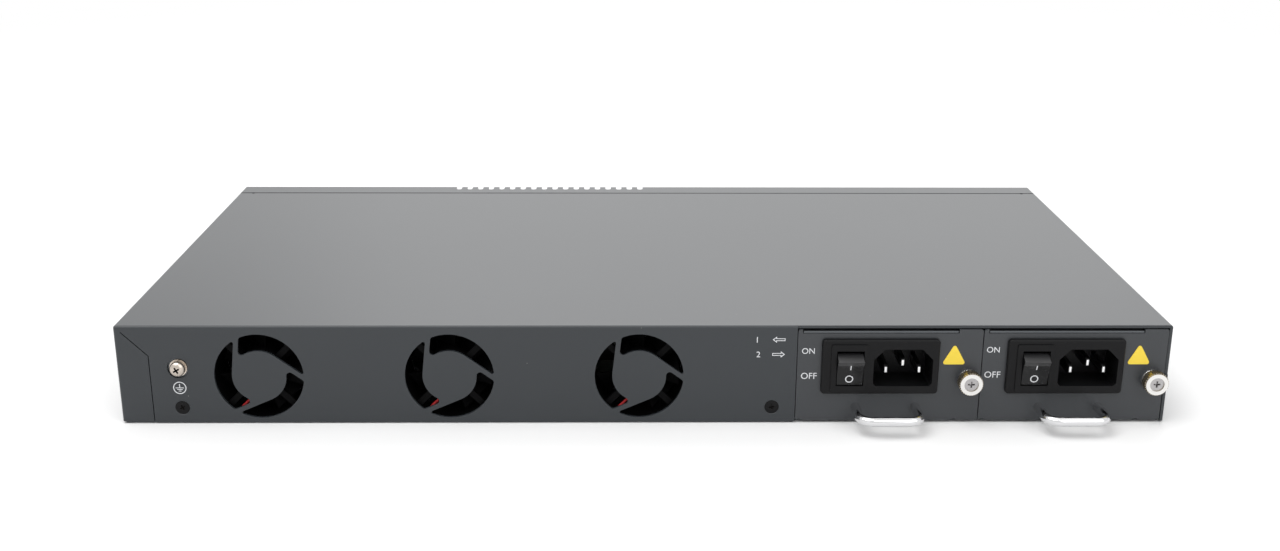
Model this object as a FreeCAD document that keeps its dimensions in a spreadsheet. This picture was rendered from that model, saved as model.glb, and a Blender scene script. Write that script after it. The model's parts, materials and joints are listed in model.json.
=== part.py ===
import FreeCAD, Part
import math
import os
import re
import Sketcher

# Rackmount network switch, one rack unit high, with three fans and two slide-in power modules.
# Millimetres. X runs along the width, the rear face looks towards -Y, and Z is up from the underside.

os.makedirs("parts", exist_ok=True)
V = FreeCAD.Vector
doc = FreeCAD.newDocument("Rack_Switch")
sheet = doc.addObject("Spreadsheet::Sheet", "Sizes")

SIZES = {
    # Chassis sheet metal
    "case_wide": 440.0,
    "case_deep": 228.0,
    "case_high": 43.6,
    "sheet_thick": 1.2,
    "bend_round": 1.1,
    "seam_back": 14.0,
    "seam_gap": 0.3,
    "seam_dot_in": 7.7,
    "seam_dot_radius": 0.8,
    "tongue_deep": 8.0,
    "tongue_in": 10.0,
    "wall_lift": 0.6,
    "wall_gap": 0.3,
    "wall_end": "=bay_first - panel_wide / 2 - wall_gap",
    "flange_lift": 1.0,
    "flange_wide": 13.3,
    "mitre_knee": 30.5,
    "mitre_gap": 0.35,
    "mitre_stop": 2.6,
    "edge_back": 0.6,
    "side_lip_high": 13.0,
    "side_lip_back": 3.0,
    "floor_back": 3.0,
    "tab_left_in": 14.0,
    "tab_left_wide": 22.0,
    "tab_left_start": "=tab_left_in - case_wide / 2",
    "tab_left_end": "=tab_left_start + tab_left_wide",
    "tab_left_high": 31.0,
    "tab_right_in": 2.1,
    "tab_right_wide": 15.0,
    "tab_right_end": "=wall_end - tab_right_in",
    "tab_right_start": "=tab_right_end - tab_right_wide",
    "tab_right_high": 13.0,
    # Screws through the cover
    "screw_level": 7.2,
    "screw_left_in": 25.65,
    "screw_right_in": 9.8,
    "screw_left": "=screw_left_in - case_wide / 2",
    "screw_right": "=wall_end - screw_right_in",
    "screw_head_radius": 3.1,
    "screw_neck_radius": 2.1,
    "screw_head_deep": 1.0,
    "screw_shank_radius": 1.45,
    "screw_long": 6.0,
    "screw_play": 0.05,
    "cross_long": 1.45,
    "cross_wide": 0.75,
    "cross_deep": 0.8,
    "side_screw_in": 24.0,
    "front_screw_in": 7.0,
    "side_screw_rear": "=side_screw_in - case_deep / 2",
    "side_screw_mid": 10.0,
    "side_screw_front": "=case_deep / 2 - front_screw_in",
    # Rack ear holes
    "ear_hole_radius": 1.65,
    "ear_hole_in": 36.0,
    "ear_hole_y": "=case_deep / 2 - ear_hole_in",
    "ear_hole_apart_y": 16.0,
    "ear_hole_apart_z": 12.0,
    "ear_hole_level": 25.0,
    # Earth screw
    "earth_in": 25.3,
    "earth_x": "=earth_in - case_wide / 2",
    "earth_level": 25.0,
    "earth_hole_radius": 4.5,
    "earth_shank_radius": 1.95,
    "earth_head_radius": 3.2,
    "earth_cross_long": 1.9,
    "earth_head_long": 2.4,
    "earth_washer_radius": 3.7,
    "earth_washer_thick": 0.8,
    "earth_spring_radius": 3.3,
    "earth_spring_thick": 1.0,
    "earth_long": 9.0,
    "earth_nut_radius": 4.0,
    "earth_nut_long": 3.0,
    # Front panel
    "vent_first": -100.3,
    "vent_pitch": 5.94,
    "vent_count": 18,
    "vent_wide": 3.0,
    "vent_deep": 6.0,
    "vent_drop": 6.0,
    "vent_round": 1.4,
    "port_level": 4.6,
    # Copper sockets
    "copper_in": 200.0,
    "copper_start": "=case_wide / 2 - copper_in",
    "copper_pitch": 14.3,
    "copper_count": 6,
    "copper_high": 26.0,
    "copper_deep": 26.0,
    "copper_hole_wide": 12.0,
    "copper_hole_high": 8.6,
    "copper_hole_deep": 17.0,
    "copper_hole_low": 2.6,
    "copper_hole_apart": 12.2,
    "copper_margin": 1.2,
    "port_play": 0.2,
    # Fibre cages
    "cage_in": 313.0,
    "cage_start": "=case_wide / 2 - cage_in",
    "cage_pitch": 14.4,
    "cage_count": 6,
    "cage_high": 24.4,
    "cage_deep": 46.0,
    "cage_hole_wide": 13.6,
    "cage_hole_high": 9.0,
    "cage_hole_deep": 43.0,
    "cage_hole_low": 1.0,
    "cage_hole_apart": 13.0,
    "cage_margin": 0.8,
    # Console socket, status lights and reset button
    "console_in": 92.0,
    "console_start": "=case_wide / 2 - console_in",
    "console_wide": 16.0,
    "console_high": 13.4,
    "light_in": 68.0,
    "light_first": "=case_wide / 2 - light_in",
    "light_pitch": 6.0,
    "light_count": 6,
    "light_level": 12.0,
    "light_radius": 1.3,
    "light_block_high": 4.0,
    "light_block_deep": 12.0,
    "reset_in": 28.0,
    "reset_x": "=case_wide / 2 - reset_in",
    "reset_level": 12.0,
    "reset_radius": 1.4,
    "reset_play": 0.06,
    "reset_sunk": 1.6,
    "reset_long": 7.0,
    "reset_plate": 4.4,
    "reset_travel": 1.0,
    # Boards
    "board_thick": 1.6,
    "board_level": 4.6,
    "board_rear": 40.0,
    "board_side": 6.0,
    "board_front": 1.6,
    "board_notch_in": 5.1,
    "board_notch_x": "=wall_end - board_notch_in",
    "board_notch_y": "=box_long + 20",
    "stand_radius": 3.0,
    "stand_hole": 1.5,
    "stand_in": 9.0,
    "board_screw_radius": 1.4,
    "board_screw_head": 2.8,
    "board_screw_high": 1.6,
    "board_screw_long": 4.0,
    "sink_x": -50.0,
    "sink_y": -20.0,
    "sink_side": 60.0,
    "sink_high": 22.0,
    "sink_base": 4.0,
    "sink_fin": 1.6,
    "sink_pitch": 5.3,
    "chip_side": 40.0,
    "chip_high": 3.2,
    "small_chip_high": 1.4,
    "memory_side": 17.0,
    "memory_pitch": 28.0,
    "memory_in": 17.8,
    "memory_back": 60.0,
    "driver_side": 11.0,
    "driver_pitch": 16.0,
    "driver_front": 40.0,
    "filter_radius": 4.0,
    "filter_high": 11.0,
    "filter_pitch": 13.0,
    "filter_in": 14.8,
    "filter_front": 18.0,
    # Fans
    "fan_count": 3,
    "fan_left": 58.7,
    "fan_right": 65.8,
    "fan_first": "=fan_left - case_wide / 2",
    "fan_pitch": "=(wall_end - fan_right - fan_first) / (fan_count - 1)",
    "fan_level": 21.3,
    "grille_radius": 18.65,
    "grille_hub": 11.3,
    "spoke_wide": 2.0,
    "spoke_lean": 6.5,
    "grille_round": 1.5,
    "grille_tail": 0.7,
    "fan_side": 40.0,
    "fan_deep": 20.0,
    "fan_gap": 1.6,
    "fan_bore": 19.0,
    "fan_round": 3.0,
    "fan_flange": 3.5,
    "fan_duct": 19.9,
    "fan_hole_half": 16.0,
    "fan_hole_radius": 1.75,
    "hub_radius": 11.0,
    "hub_thick": 2.0,
    "strut_wide": 2.6,
    "bearing_radius": 3.4,
    "bearing_long": 11.0,
    "shaft_radius": 1.5,
    "shaft_play": 0.05,
    "rotor_radius": 10.4,
    "rotor_wall": 1.2,
    "rotor_gap": 0.6,
    "rotor_long": 15.0,
    "blade_count": 7,
    "blade_root": 9.3,
    "blade_tip": 16.9,
    "blade_root_half": 4.0,
    "blade_tip_half": 6.4,
    "blade_thick": 1.1,
    "blade_low": 1.2,
    "blade_root_rise": 11.0,
    "blade_tip_rise": 8.0,
    "wire_radius": 0.6,
    "sleeve_radius": 0.75,
    "wire_reach": 21.4,
    "wire_hub": 6.5,
    "wire_turn": 13.0,
    "wire_run": 34.0,
    "header_wide": 7.0,
    "header_high": 7.0,
    "header_deep": 9.0,
    "bracket_in": 4.0,
    "bracket_high": 40.8,
    "bracket_foot": 12.0,
    "bracket_notch": 2.4,
    "fan_screw_radius": 1.5,
    "fan_screw_head": 2.8,
    "fan_screw_high": 1.8,
    "fan_screw_long": 8.0,
    # Power bays
    "panel_gap": 0.4,
    "panel_edge": 1.6,
    "bay_pitch": "=panel_wide + panel_gap",
    "bay_first": "=case_wide / 2 - panel_edge - panel_wide / 2 - bay_pitch",
    "bay_sheet": 0.8,
    "bay_top": 41.8,
    "bay_deep": "=box_long + 12",
    "bay_foot": 9.0,
    "rivet_radius": 1.5,
    "rivet_head": 2.6,
    "rivet_high": 0.7,
    "rivet_first": 20.0,
    "rivet_apart": "=bay_deep / 2 - rivet_first",
    "tab_low": 8.0,
    "tab_high": 34.0,
    "thumb_tab_hole": 3.0,
    "thumb_nut_radius": 3.3,
    "thumb_nut_long": 5.0,
    "backplane_y": "=box_long + 14",
    "backplane_high": 36.0,
    "socket_wide": 40.0,
    "socket_high": 9.0,
    "socket_deep": 8.0,
    "socket_slot": 2.2,
    # Power module
    "panel_wide": 77.3,
    "panel_top": 42.0,
    "panel_round": 1.0,
    "panel_thick": 1.2,
    "recess_low": 40.3,
    "recess_west": 1.9,
    "recess_east": 10.1,
    "recess_start": "=recess_west - panel_wide / 2",
    "recess_end": "=panel_wide / 2 - recess_east",
    "notch_wide": 1.4,
    "notch_high": 0.8,
    "box_sheet": 0.8,
    "front_room": 64.0,
    "box_long": "=case_deep - front_room",
    "box_top": 41.3,
    "box_gap": 0.4,
    "box_vent_wide": 2.0,
    "box_vent_high": 22.0,
    "box_vent_pitch": 5.0,
    "box_vent_count": 11,
    "inlet_start": -28.55,
    "inlet_end": 20.65,
    "inlet_low": 13.8,
    "inlet_high": 38.05,
    "inlet_round": 1.6,
    "inlet_proud": 2.0,
    "inlet_deep": 22.0,
    "inlet_lip": 1.5,
    "inlet_play": 0.15,
    "rim_start": -24.75,
    "rim_end": -9.55,
    "rim_low": 15.2,
    "rim_high": 36.0,
    "rim_proud": 0.5,
    "window_start": -22.45,
    "window_end": -10.95,
    "window_low": 17.7,
    "window_high": 33.2,
    "window_deep": 12.0,
    "plug_start": -6.85,
    "plug_end": 17.95,
    "plug_low": 17.4,
    "plug_top": 33.8,
    "plug_deep": 14.0,
    "plug_corner": 4.6,
    "pin_middle": 5.55,
    "pin_apart": 7.0,
    "pin_wide": 2.0,
    "pin_high": 4.0,
    "pin_level": 25.0,
    "pin_earth_up": 3.2,
    "pin_tip": 0.5,
    "pin_tail": 28.0,
    "rocker_play": 0.2,
    "rocker_axis_y": 3.0,
    "rocker_stub": 1.2,
    "rocker_stub_play": 0.05,
    "rocker_stub_long": 1.0,
    "rocker_face_low": 2.3,
    "rocker_face_mid": 3.2,
    "rocker_face_high": 5.9,
    "rocker_low_half": 7.5,
    "rocker_high_half": 4.85,
    "rocker_sweep": 7.5,
    "rocker_back": 3.0,
    "handle_middle": -0.8,
    "handle_apart": 25.3,
    "handle_level": 7.3,
    "handle_reach": 16.0,
    "handle_radius": 2.0,
    "handle_bend": 5.5,
    "handle_bore": 1.5,
    "handle_bore_deep": 7.0,
    "handle_screw_head": 2.8,
    "handle_screw_high": 1.8,
    "handle_screw_long": 6.0,
    "thumb_in": 5.1,
    "thumb_x": "=panel_wide / 2 - thumb_in",
    "thumb_level": 19.9,
    "thumb_radius": 5.05,
    "thumb_proud": 6.9,
    "thumb_back": 2.2,
    "thumb_shank": 1.95,
    "thumb_long": 7.0,
    "thumb_ring": 3.0,
    "thumb_ring_deep": 0.5,
    "thumb_cross": 3.4,
    "thumb_cross_deep": 1.4,
    "thumb_play": 0.05,
    "thumb_washer_radius": 4.4,
    "thumb_washer_thick": 1.0,
    "ferrule_radius": 4.2,
    "ferrule_proud": 1.0,
    "ferrule_tube": 3.0,
    "knurl_count": 30,
    "knurl_deep": 0.35,
    "knurl_half": 0.32,
    "sticker_x": 27.05,
    "sticker_low": 26.5,
    "sticker_half": 5.1,
    "sticker_high": 9.2,
    "sticker_round": 0.9,
    "sticker_thick": 0.15,
    "unit_board_level": 5.0,
    "unit_board_start": 30.0,
    "unit_board_side": 2.0,
    "unit_board_end": 3.0,
    "tongue_half": 17.0,
    "tongue_long": 8.0,
    "post_radius": 2.5,
    "post_in": 6.0,
    "coil_radius": 9.0,
    "coil_high": 14.0,
    "can_radius": 7.5,
    "can_high": 26.0,
    "can_apart": 17.0,
    "block_wide": 26.0,
    "block_deep": 24.0,
    "block_high": 22.0,
    "fin_thick": 3.0,
    "fin_high": 27.0,
    "fin_room": 104.0,
    "fin_long": "=box_long - fin_room",
    "fin_in": 6.0,
    "fin_front": 34.0,
    "part_in": 18.0,
    "can_back": 19.0,
}

for row, alias in enumerate(SIZES, start=1):
    sheet.set(f"A{row}", alias)
    sheet.setAlias(f"B{row}", alias)
for row, value in enumerate(SIZES.values(), start=1):
    sheet.set(f"B{row}", str(value))
doc.recompute()


def full(text):
    """Point every size name in an expression at the sheet."""
    return re.sub(r"\b([a-z]+_[a-z_]+)\b", r"Sizes.\1", str(text))


def num(text):
    """Give the value of an expression."""
    return float(sheet.evalExpression(full(text)))


def bind(sketch, kind, where, text, value=None):
    """Add one constraint and tie it to the sizes."""
    if value is None:
        value = num(text)
    index = sketch.addConstraint(Sketcher.Constraint(kind, *where, value))
    sketch.setExpression(f"Constraints[{index}]", full(text))


def bind_point(sketch, item, end, x, y):
    """Fix one point of a sketch line or circle from the origin."""
    bind(sketch, "DistanceX", (-1, 1, item, end), x)
    bind(sketch, "DistanceY", (-1, 1, item, end), y)


def poly(*points):
    """Outline through the given corners."""
    def draw(sketch):
        first = sketch.GeometryCount
        total = len(points)
        spots = [V(num(x), num(y), 0) for x, y in points]
        for index in range(total):
            line = Part.LineSegment(spots[index], spots[(index + 1) % total])
            sketch.addGeometry(line, False)
        for index in range(total):
            following = first + (index + 1) % total
            sketch.addConstraint(Sketcher.Constraint("Coincident", first + index, 2, following, 1))
        for index, (x, y) in enumerate(points):
            bind_point(sketch, first + index, 1, x, y)
    return draw


def rect(left, low, right, high):
    """Plain rectangle."""
    return poly((left, low), (right, low), (right, high), (left, high))


def round_rect(left, low, right, high, radius):
    """Rectangle with rounded corners."""
    def draw(sketch):
        first = sketch.GeometryCount
        ends = [
            ((f"{left} + {radius}", low), (f"{right} - {radius}", low)),
            ((right, f"{low} + {radius}"), (right, f"{high} - {radius}")),
            ((f"{right} - {radius}", high), (f"{left} + {radius}", high)),
            ((left, f"{high} - {radius}"), (left, f"{low} + {radius}")),
        ]
        centres = [
            (f"{right} - {radius}", f"{low} + {radius}"),
            (f"{right} - {radius}", f"{high} - {radius}"),
            (f"{left} + {radius}", f"{high} - {radius}"),
            (f"{left} + {radius}", f"{low} + {radius}"),
        ]
        for side, (start, stop) in enumerate(ends):
            line = Part.LineSegment(V(num(start[0]), num(start[1]), 0), V(num(stop[0]), num(stop[1]), 0))
            sketch.addGeometry(line, False)
            bind_point(sketch, first + side, 1, *start)
            bind_point(sketch, first + side, 2, *stop)
        for side, (x, y) in enumerate(centres):
            turn = (side - 1) * math.pi / 2
            ring = Part.Circle(V(num(x), num(y), 0), V(0, 0, 1), num(radius))
            arc = sketch.addGeometry(Part.ArcOfCircle(ring, turn, turn + math.pi / 2), False)
            sketch.addConstraint(Sketcher.Constraint("Coincident", arc, 1, first + side, 2))
            sketch.addConstraint(Sketcher.Constraint("Coincident", arc, 2, first + (side + 1) % 4, 1))
            bind(sketch, "Radius", (arc,), radius)
    return draw


def circle(x, y, radius):
    """Circle about a fixed centre."""
    def draw(sketch):
        ring = Part.Circle(V(num(x), num(y), 0), V(0, 0, 1), num(radius))
        item = sketch.addGeometry(ring, False)
        bind_point(sketch, item, 3, x, y)
        bind(sketch, "Radius", (item,), radius)
    return draw


def swirl():
    """One opening of a fan grille, between a ring, the hub and two leaning spokes."""
    def draw(sketch):
        outer = num("grille_radius")
        hub = num("grille_hub")
        edge = num("grille_hub - spoke_wide")
        high = V(-edge, math.sqrt(outer ** 2 - edge ** 2), 0)
        low = V(-edge, math.sqrt(hub ** 2 - edge ** 2), 0)
        touch = V(hub * math.cos(math.pi / 3), hub * math.sin(math.pi / 3), 0)
        run = math.sqrt(outer ** 2 - hub ** 2)
        far = touch + V(math.sin(2 * math.pi / 3), math.cos(2 * math.pi / 3), 0) * run
        axis = V(0, 0, 1)
        rim = Part.ArcOfCircle(Part.Circle(V(), axis, outer), math.atan2(far.y, far.x), math.atan2(high.y, high.x))
        core = Part.ArcOfCircle(Part.Circle(V(), axis, hub), math.atan2(touch.y, touch.x), math.atan2(low.y, low.x))
        for item in (rim, Part.LineSegment(high, low), core, Part.LineSegment(touch, far)):
            sketch.addGeometry(item, False)
        joints = (("Coincident", 0, 3, -1, 1), ("Coincident", 2, 3, -1, 1), ("Coincident", 0, 2, 1, 1),
                  ("Coincident", 1, 2, 2, 2), ("Tangent", 2, 1, 3, 1), ("Coincident", 3, 2, 0, 1), ("Vertical", 1))
        for joint in joints:
            sketch.addConstraint(Sketcher.Constraint(*joint))
        bind(sketch, "Radius", (0,), "grille_radius")
        bind(sketch, "Radius", (2,), "grille_hub")
        bind(sketch, "DistanceX", (-1, 1, 1, 1), "spoke_wide - grille_hub")
        bind(sketch, "Angle", (3,), "-30 deg", math.radians(-30))
    return draw


class Piece:
    """One sub-part built from sketched features."""

    def __init__(self, name):
        self.name = name
        self.body = doc.addObject("PartDesign::Body", name)
        self.body.Label = name
        self.steps = 0

    def new(self, kind, word):
        """Add one feature to the body."""
        self.steps += 1
        return self.body.newObject(kind, f"{self.name}_{word}_{self.steps}")

    def datum(self, role):
        """Find a plane or axis of the body's own origin."""
        return next(item for item in self.body.Origin.OriginFeatures if item.Role == role)

    def sketch(self, plane, at, *outlines):
        """Draw outlines on an origin plane, moved along its axis to `at`."""
        sketch = self.new("Sketcher::SketchObject", "outline")
        sketch.AttachmentSupport = (self.datum(f"{plane}_Plane"), [""])
        sketch.MapMode = "FlatFace"
        sign = "-" if plane == "XZ" else ""
        sketch.setExpression("AttachmentOffset.Base.z", f"{sign}({full(at)})")
        for outline in outlines:
            outline(sketch)
        return sketch

    def pad(self, plane, at, length, *outlines):
        """Add material from `at` towards the positive axis."""
        pad = self.new("PartDesign::Pad", "pad")
        pad.Profile = self.sketch(plane, at, *outlines)
        pad.setExpression("Length", full(length))
        pad.Reversed = plane == "XZ"
        return pad

    def pocket(self, plane, at, length, *outlines):
        """Remove material from `at` towards the positive axis."""
        pocket = self.new("PartDesign::Pocket", "pocket")
        pocket.Profile = self.sketch(plane, at, *outlines)
        pocket.setExpression("Length", full(length))
        pocket.Reversed = plane != "XZ"
        return pocket

    def turn(self, *outlines):
        """Turn outlines, drawn as radius and length, about the Y axis."""
        turned = self.new("PartDesign::Revolution", "turned")
        turned.Profile = self.sketch("XY", "0", *outlines)
        turned.ReferenceAxis = (turned.Profile[0], ["V_Axis"])
        turned.Angle = 360
        return turned

    def row(self, features, axis, length, count):
        """Repeat features along an axis; `length` is the distance from the first to the last."""
        row = self.new("PartDesign::LinearPattern", "row")
        row.Originals = features
        row.Direction = (self.datum(f"{axis}_Axis"), [""])
        row.setExpression("Length", full(length))
        row.setExpression("Occurrences", full(count))
        self.body.Tip = row
        return row

    def ring(self, features, axis, count):
        """Repeat features around an axis."""
        ring = self.new("PartDesign::PolarPattern", "ring")
        ring.Originals = features
        ring.Axis = (self.datum(f"{axis}_Axis"), [""])
        ring.Angle = 360
        ring.setExpression("Occurrences", full(count))
        self.body.Tip = ring
        return ring

    def dress(self, kind, size, choose):
        """Fillet or chamfer the edges that `choose` picks."""
        doc.recompute()
        base = self.body.Tip
        names = [f"Edge{i}" for i, edge in enumerate(base.Shape.Edges, start=1) if choose(edge)]
        dressed = self.new(f"PartDesign::{kind}", kind.lower())
        dressed.Base = (base, names)
        dressed.setExpression("Radius" if kind == "Fillet" else "Size", full(size))
        return dressed

    def place(self, x, y, z):
        """Set the body in the shared frame."""
        for axis, text in zip("xyz", (x, y, z)):
            self.body.setExpression(f"Placement.Base.{axis}", full(text))
        return self


def block(name, x, y, z):
    """Box between low and high values on each axis."""
    box = doc.addObject("Part::Box", name)
    for prop, axis, (low, high) in zip(("Length", "Width", "Height"), "xyz", (x, y, z)):
        box.setExpression(prop, full(f"({high}) - ({low})"))
        box.setExpression(f"Placement.Base.{axis}", full(low))
    return box


def rod(name, axis, x, y, z, radius, length):
    """Cylinder from a point towards the positive axis."""
    post = doc.addObject("Part::Cylinder", name)
    post.setExpression("Radius", full(radius))
    post.setExpression("Height", full(length))
    turns = {"X": FreeCAD.Rotation(V(0, 1, 0), 90), "Y": FreeCAD.Rotation(V(1, 0, 0), -90), "Z": FreeCAD.Rotation()}
    post.Placement = FreeCAD.Placement(V(), turns[axis])
    for letter, text in zip("xyz", (x, y, z)):
        post.setExpression(f"Placement.Base.{letter}", full(text))
    return post


def join(name, shapes):
    """Group solids into one sub-part."""
    group = doc.addObject("Part::MultiFuse", name)
    group.Shapes = shapes
    group.Label = name
    return group


def cut(name, base, tools):
    """Take tool solids away from a base."""
    result = doc.addObject("Part::Cut", name)
    result.Base = base
    result.Tool = tools[0] if len(tools) == 1 else join(f"{name}_tools", tools)
    result.Label = name
    return result


def place(item, x, y, z):
    """Set a boolean result in the shared frame."""
    for axis, text in zip("xyz", (x, y, z)):
        item.setExpression(f"Placement.Base.{axis}", full(text))
    return item


def along(edge, axis):
    """Whether an edge is straight and runs along the given axis."""
    if edge.Degenerated or edge.Curve.TypeId != "Part::GeomLine":
        return False
    return abs(edge.tangentAt(edge.FirstParameter).dot(axis)) > 0.999


def near(value, text):
    """Whether a coordinate sits at the value of an expression."""
    return abs(value - num(text)) < 0.01


nodes = []
REAR = "-case_deep / 2"
FRONT = "case_deep / 2"
HALF = "case_wide / 2"
INNER = "(case_wide / 2 - sheet_thick)"
SEAM = "(case_deep / 2 - seam_back)"
CEILING = "(case_high - sheet_thick)"
WALL_BACK = "(-case_deep / 2 + sheet_thick)"

# ---------------------------------------------------------------- top cover
cover = Piece("top_cover")
cover.pad("XZ", REAR, "case_deep - seam_back - seam_gap",
          poly((f"-{HALF}", "wall_lift"), (f"-{HALF} + sheet_thick", "wall_lift"),
               (f"-{INNER}", CEILING), (INNER, CEILING), (INNER, "wall_lift"),
               (HALF, "wall_lift"), (HALF, "case_high"), (f"-{HALF}", "case_high")))
cover.pad("XZ", REAR, "sheet_thick",
          rect(f"-{HALF} + 0.5", "wall_lift", "wall_end", f"{CEILING} + 0.4"))
cover.pocket("XY", f"{CEILING} - 1", "sheet_thick + 2",
             *[circle(f"{s} * (case_wide / 2 - seam_dot_in)", f"{SEAM} - seam_gap - seam_dot_radius * 0.4",
                      "seam_dot_radius") for s in (-1, 1)])


def cover_bend(edge):
    """Whether an edge is one of the cover's outer bends."""
    spot = edge.CenterOfMass
    side = along(edge, V(0, 1, 0)) and near(spot.z, "case_high") and near(abs(spot.x), HALF)
    back = along(edge, V(1, 0, 0)) and near(spot.z, "case_high") and near(spot.y, REAR)
    corner = along(edge, V(0, 0, 1)) and near(spot.x, f"-{HALF}") and near(spot.y, REAR)
    return side or back or corner


cover.dress("Fillet", "bend_round", cover_bend)
cover.pocket("XZ", f"{REAR} - 1", "edge_back + 1",
             rect("wall_end", "case_high / 2", f"{HALF} + 1", "case_high + 1"))
FLANGE_IN = "(-case_wide / 2 + flange_wide)"
MITRE_RUN = "(case_high - mitre_knee - mitre_stop)"
cover.pocket("XZ", f"{REAR} - 1", "sheet_thick + 2",
             poly((FLANGE_IN, "-1"), (f"{FLANGE_IN} + mitre_gap", "-1"), (f"{FLANGE_IN} + mitre_gap", "mitre_knee"),
                  (f"{FLANGE_IN} + mitre_gap - {MITRE_RUN}", f"mitre_knee + {MITRE_RUN}"),
                  (f"{FLANGE_IN} - {MITRE_RUN}", f"mitre_knee + {MITRE_RUN} - mitre_gap / 2"),
                  (FLANGE_IN, "mitre_knee - mitre_gap / 2")))
cover.pocket("XZ", f"{REAR} - 1", "sheet_thick + 2",
             rect(f"-{HALF} - 1", "-1", FLANGE_IN, "flange_lift"))
opening = cover.pocket("XZ", f"{REAR} - 1", "sheet_thick + 2", swirl())
opening.Profile[0].setExpression("AttachmentOffset.Base.x", full("fan_first"))
opening.Profile[0].setExpression("AttachmentOffset.Base.y", full("fan_level"))
opening.Profile[0].setExpression("AttachmentOffset.Rotation.Angle", full("-spoke_lean"))
grilles = cover.new("PartDesign::MultiTransform", "grilles")
grilles.Originals = [opening]
spokes = cover.new("PartDesign::PolarPattern", "spokes")
spokes.Axis = (opening.Profile[0], ["N_Axis"])
spokes.Angle = 360
spokes.Occurrences = 3
spread = cover.new("PartDesign::LinearPattern", "spread")
spread.Direction = (cover.datum("X_Axis"), [""])
spread.setExpression("Length", full("fan_pitch * (fan_count - 1)"))
spread.setExpression("Occurrences", full("fan_count"))
grilles.Transformations = [spokes, spread]
cover.body.Tip = grilles


def grille_edge(radius, angle):
    """Choose the grille corners at a radius from a fan's axis and a turn from its spoke."""
    def choose(edge):
        if not along(edge, V(0, 1, 0)) or not near(edge.CenterOfMass.y, f"{REAR} + sheet_thick / 2"):
            return False
        rise = edge.CenterOfMass.z - num("fan_level")
        for number in range(int(SIZES["fan_count"])):
            reach = edge.CenterOfMass.x - num(f"fan_first + {number} * fan_pitch")
            if near(math.hypot(reach, rise), radius):
                turn = math.degrees(math.atan2(rise, reach)) + num("spoke_lean") - angle
                return abs((turn + 60) % 120 - 60) < 4
        return False
    return choose


HUB_TURN = math.degrees(math.acos(-num("(grille_hub - spoke_wide) / grille_hub")))
RIM_TURN = math.degrees(math.acos(-num("(grille_hub - spoke_wide) / grille_radius")))
TAIL_TURN = 60 - math.degrees(math.acos(num("grille_hub / grille_radius")))
cover.dress("Fillet", "grille_round", grille_edge("grille_hub", HUB_TURN))
cover.dress("Fillet", "grille_round", grille_edge("grille_radius", RIM_TURN))
cover.dress("Fillet", "grille_tail", grille_edge("grille_radius", TAIL_TURN))
cover.pocket("XZ", f"{REAR} - 1", "sheet_thick + 2",
             circle("earth_x", "earth_level", "earth_hole_radius"),
             circle("screw_left", "screw_level", "screw_neck_radius + screw_play"),
             circle("screw_right", "screw_level", "screw_neck_radius + screw_play"))
SIDE_SCREWS = ("side_screw_rear", "side_screw_mid")
for start in (f"-{HALF} - 1", f"{INNER} - 1"):
    cover.pocket("YZ", start, "sheet_thick + 2",
                 *[circle(y, "screw_level", "screw_neck_radius + screw_play") for y in SIDE_SCREWS],
                 *[circle(f"ear_hole_y + {dy} * ear_hole_apart_y / 2",
                          f"ear_hole_level + {dz} * ear_hole_apart_z / 2", "ear_hole_radius")
                   for dy in (-1, 1) for dz in (-1, 1)])


def sunk_rim(edge):
    """Whether an edge is the outer rim of a countersunk screw hole."""
    if edge.Degenerated or edge.Curve.TypeId != "Part::GeomCircle":
        return False
    if abs(edge.Curve.Radius - num("screw_neck_radius + screw_play")) > 0.01:
        return False
    spot = edge.CenterOfMass
    return near(spot.y, REAR) or near(abs(spot.x), HALF)


cover.dress("Chamfer", "screw_head_deep", sunk_rim)
nodes.append(cover.body)

# ------------------------------------------------------------- chassis base
base = Piece("chassis_base")
base.pad("XY", "0", "sheet_thick",
         poly((f"-{INNER}", WALL_BACK), ("wall_end", WALL_BACK), ("wall_end", f"{REAR} + floor_back"),
              (INNER, f"{REAR} + floor_back"), (INNER, f"{FRONT} - sheet_thick"),
              (f"-{INNER}", f"{FRONT} - sheet_thick")))
base.pad("XZ", WALL_BACK, "sheet_thick",
         rect("tab_left_start", "0", "tab_left_end", "tab_left_high"),
         rect("tab_right_start", "0", "tab_right_end", "tab_right_high"))
base.pad("YZ", f"-{INNER}", "sheet_thick",
         rect(f"{REAR} + side_lip_back", "0", f"{FRONT} - sheet_thick", "side_lip_high"))
base.pad("YZ", f"{INNER} - sheet_thick", "sheet_thick",
         rect(f"{REAR} + side_lip_back", "0", f"{FRONT} - sheet_thick", "side_lip_high"))
base.pocket("XZ", f"{WALL_BACK} - 1", "sheet_thick + 2",
            circle("earth_x", "earth_level", "earth_shank_radius + screw_play"),
            circle("screw_left", "screw_level", "screw_shank_radius + screw_play"),
            circle("screw_right", "screw_level", "screw_shank_radius + screw_play"))
for start in (f"-{INNER} - 1", f"{INNER} - sheet_thick - 1"):
    base.pocket("YZ", start, "sheet_thick + 2",
                *[circle(y, "screw_level", "screw_shank_radius + screw_play")
                  for y in SIDE_SCREWS + ("side_screw_front",)])
# Rivet holes under the bay sheets
BAY_RIVETS = [
    ("wall_end - bay_sheet - bay_foot / 2 - 0.3", "bay_wall"),
    ("bay_first + bay_pitch / 2 - 4.4", "bay_divider"),
    ("bay_first + bay_pitch + panel_wide / 2 - 5.2", "bay_bracket"),
]
RIVET_SPOTS = [(x, f"{REAR} + rivet_first + {n} * rivet_apart") for x, _ in BAY_RIVETS for n in range(3)]
base.pocket("XY", "-1", "sheet_thick + 2",
            *[circle(x, y, "rivet_radius") for x, y in RIVET_SPOTS])
nodes.append(base.body)

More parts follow.
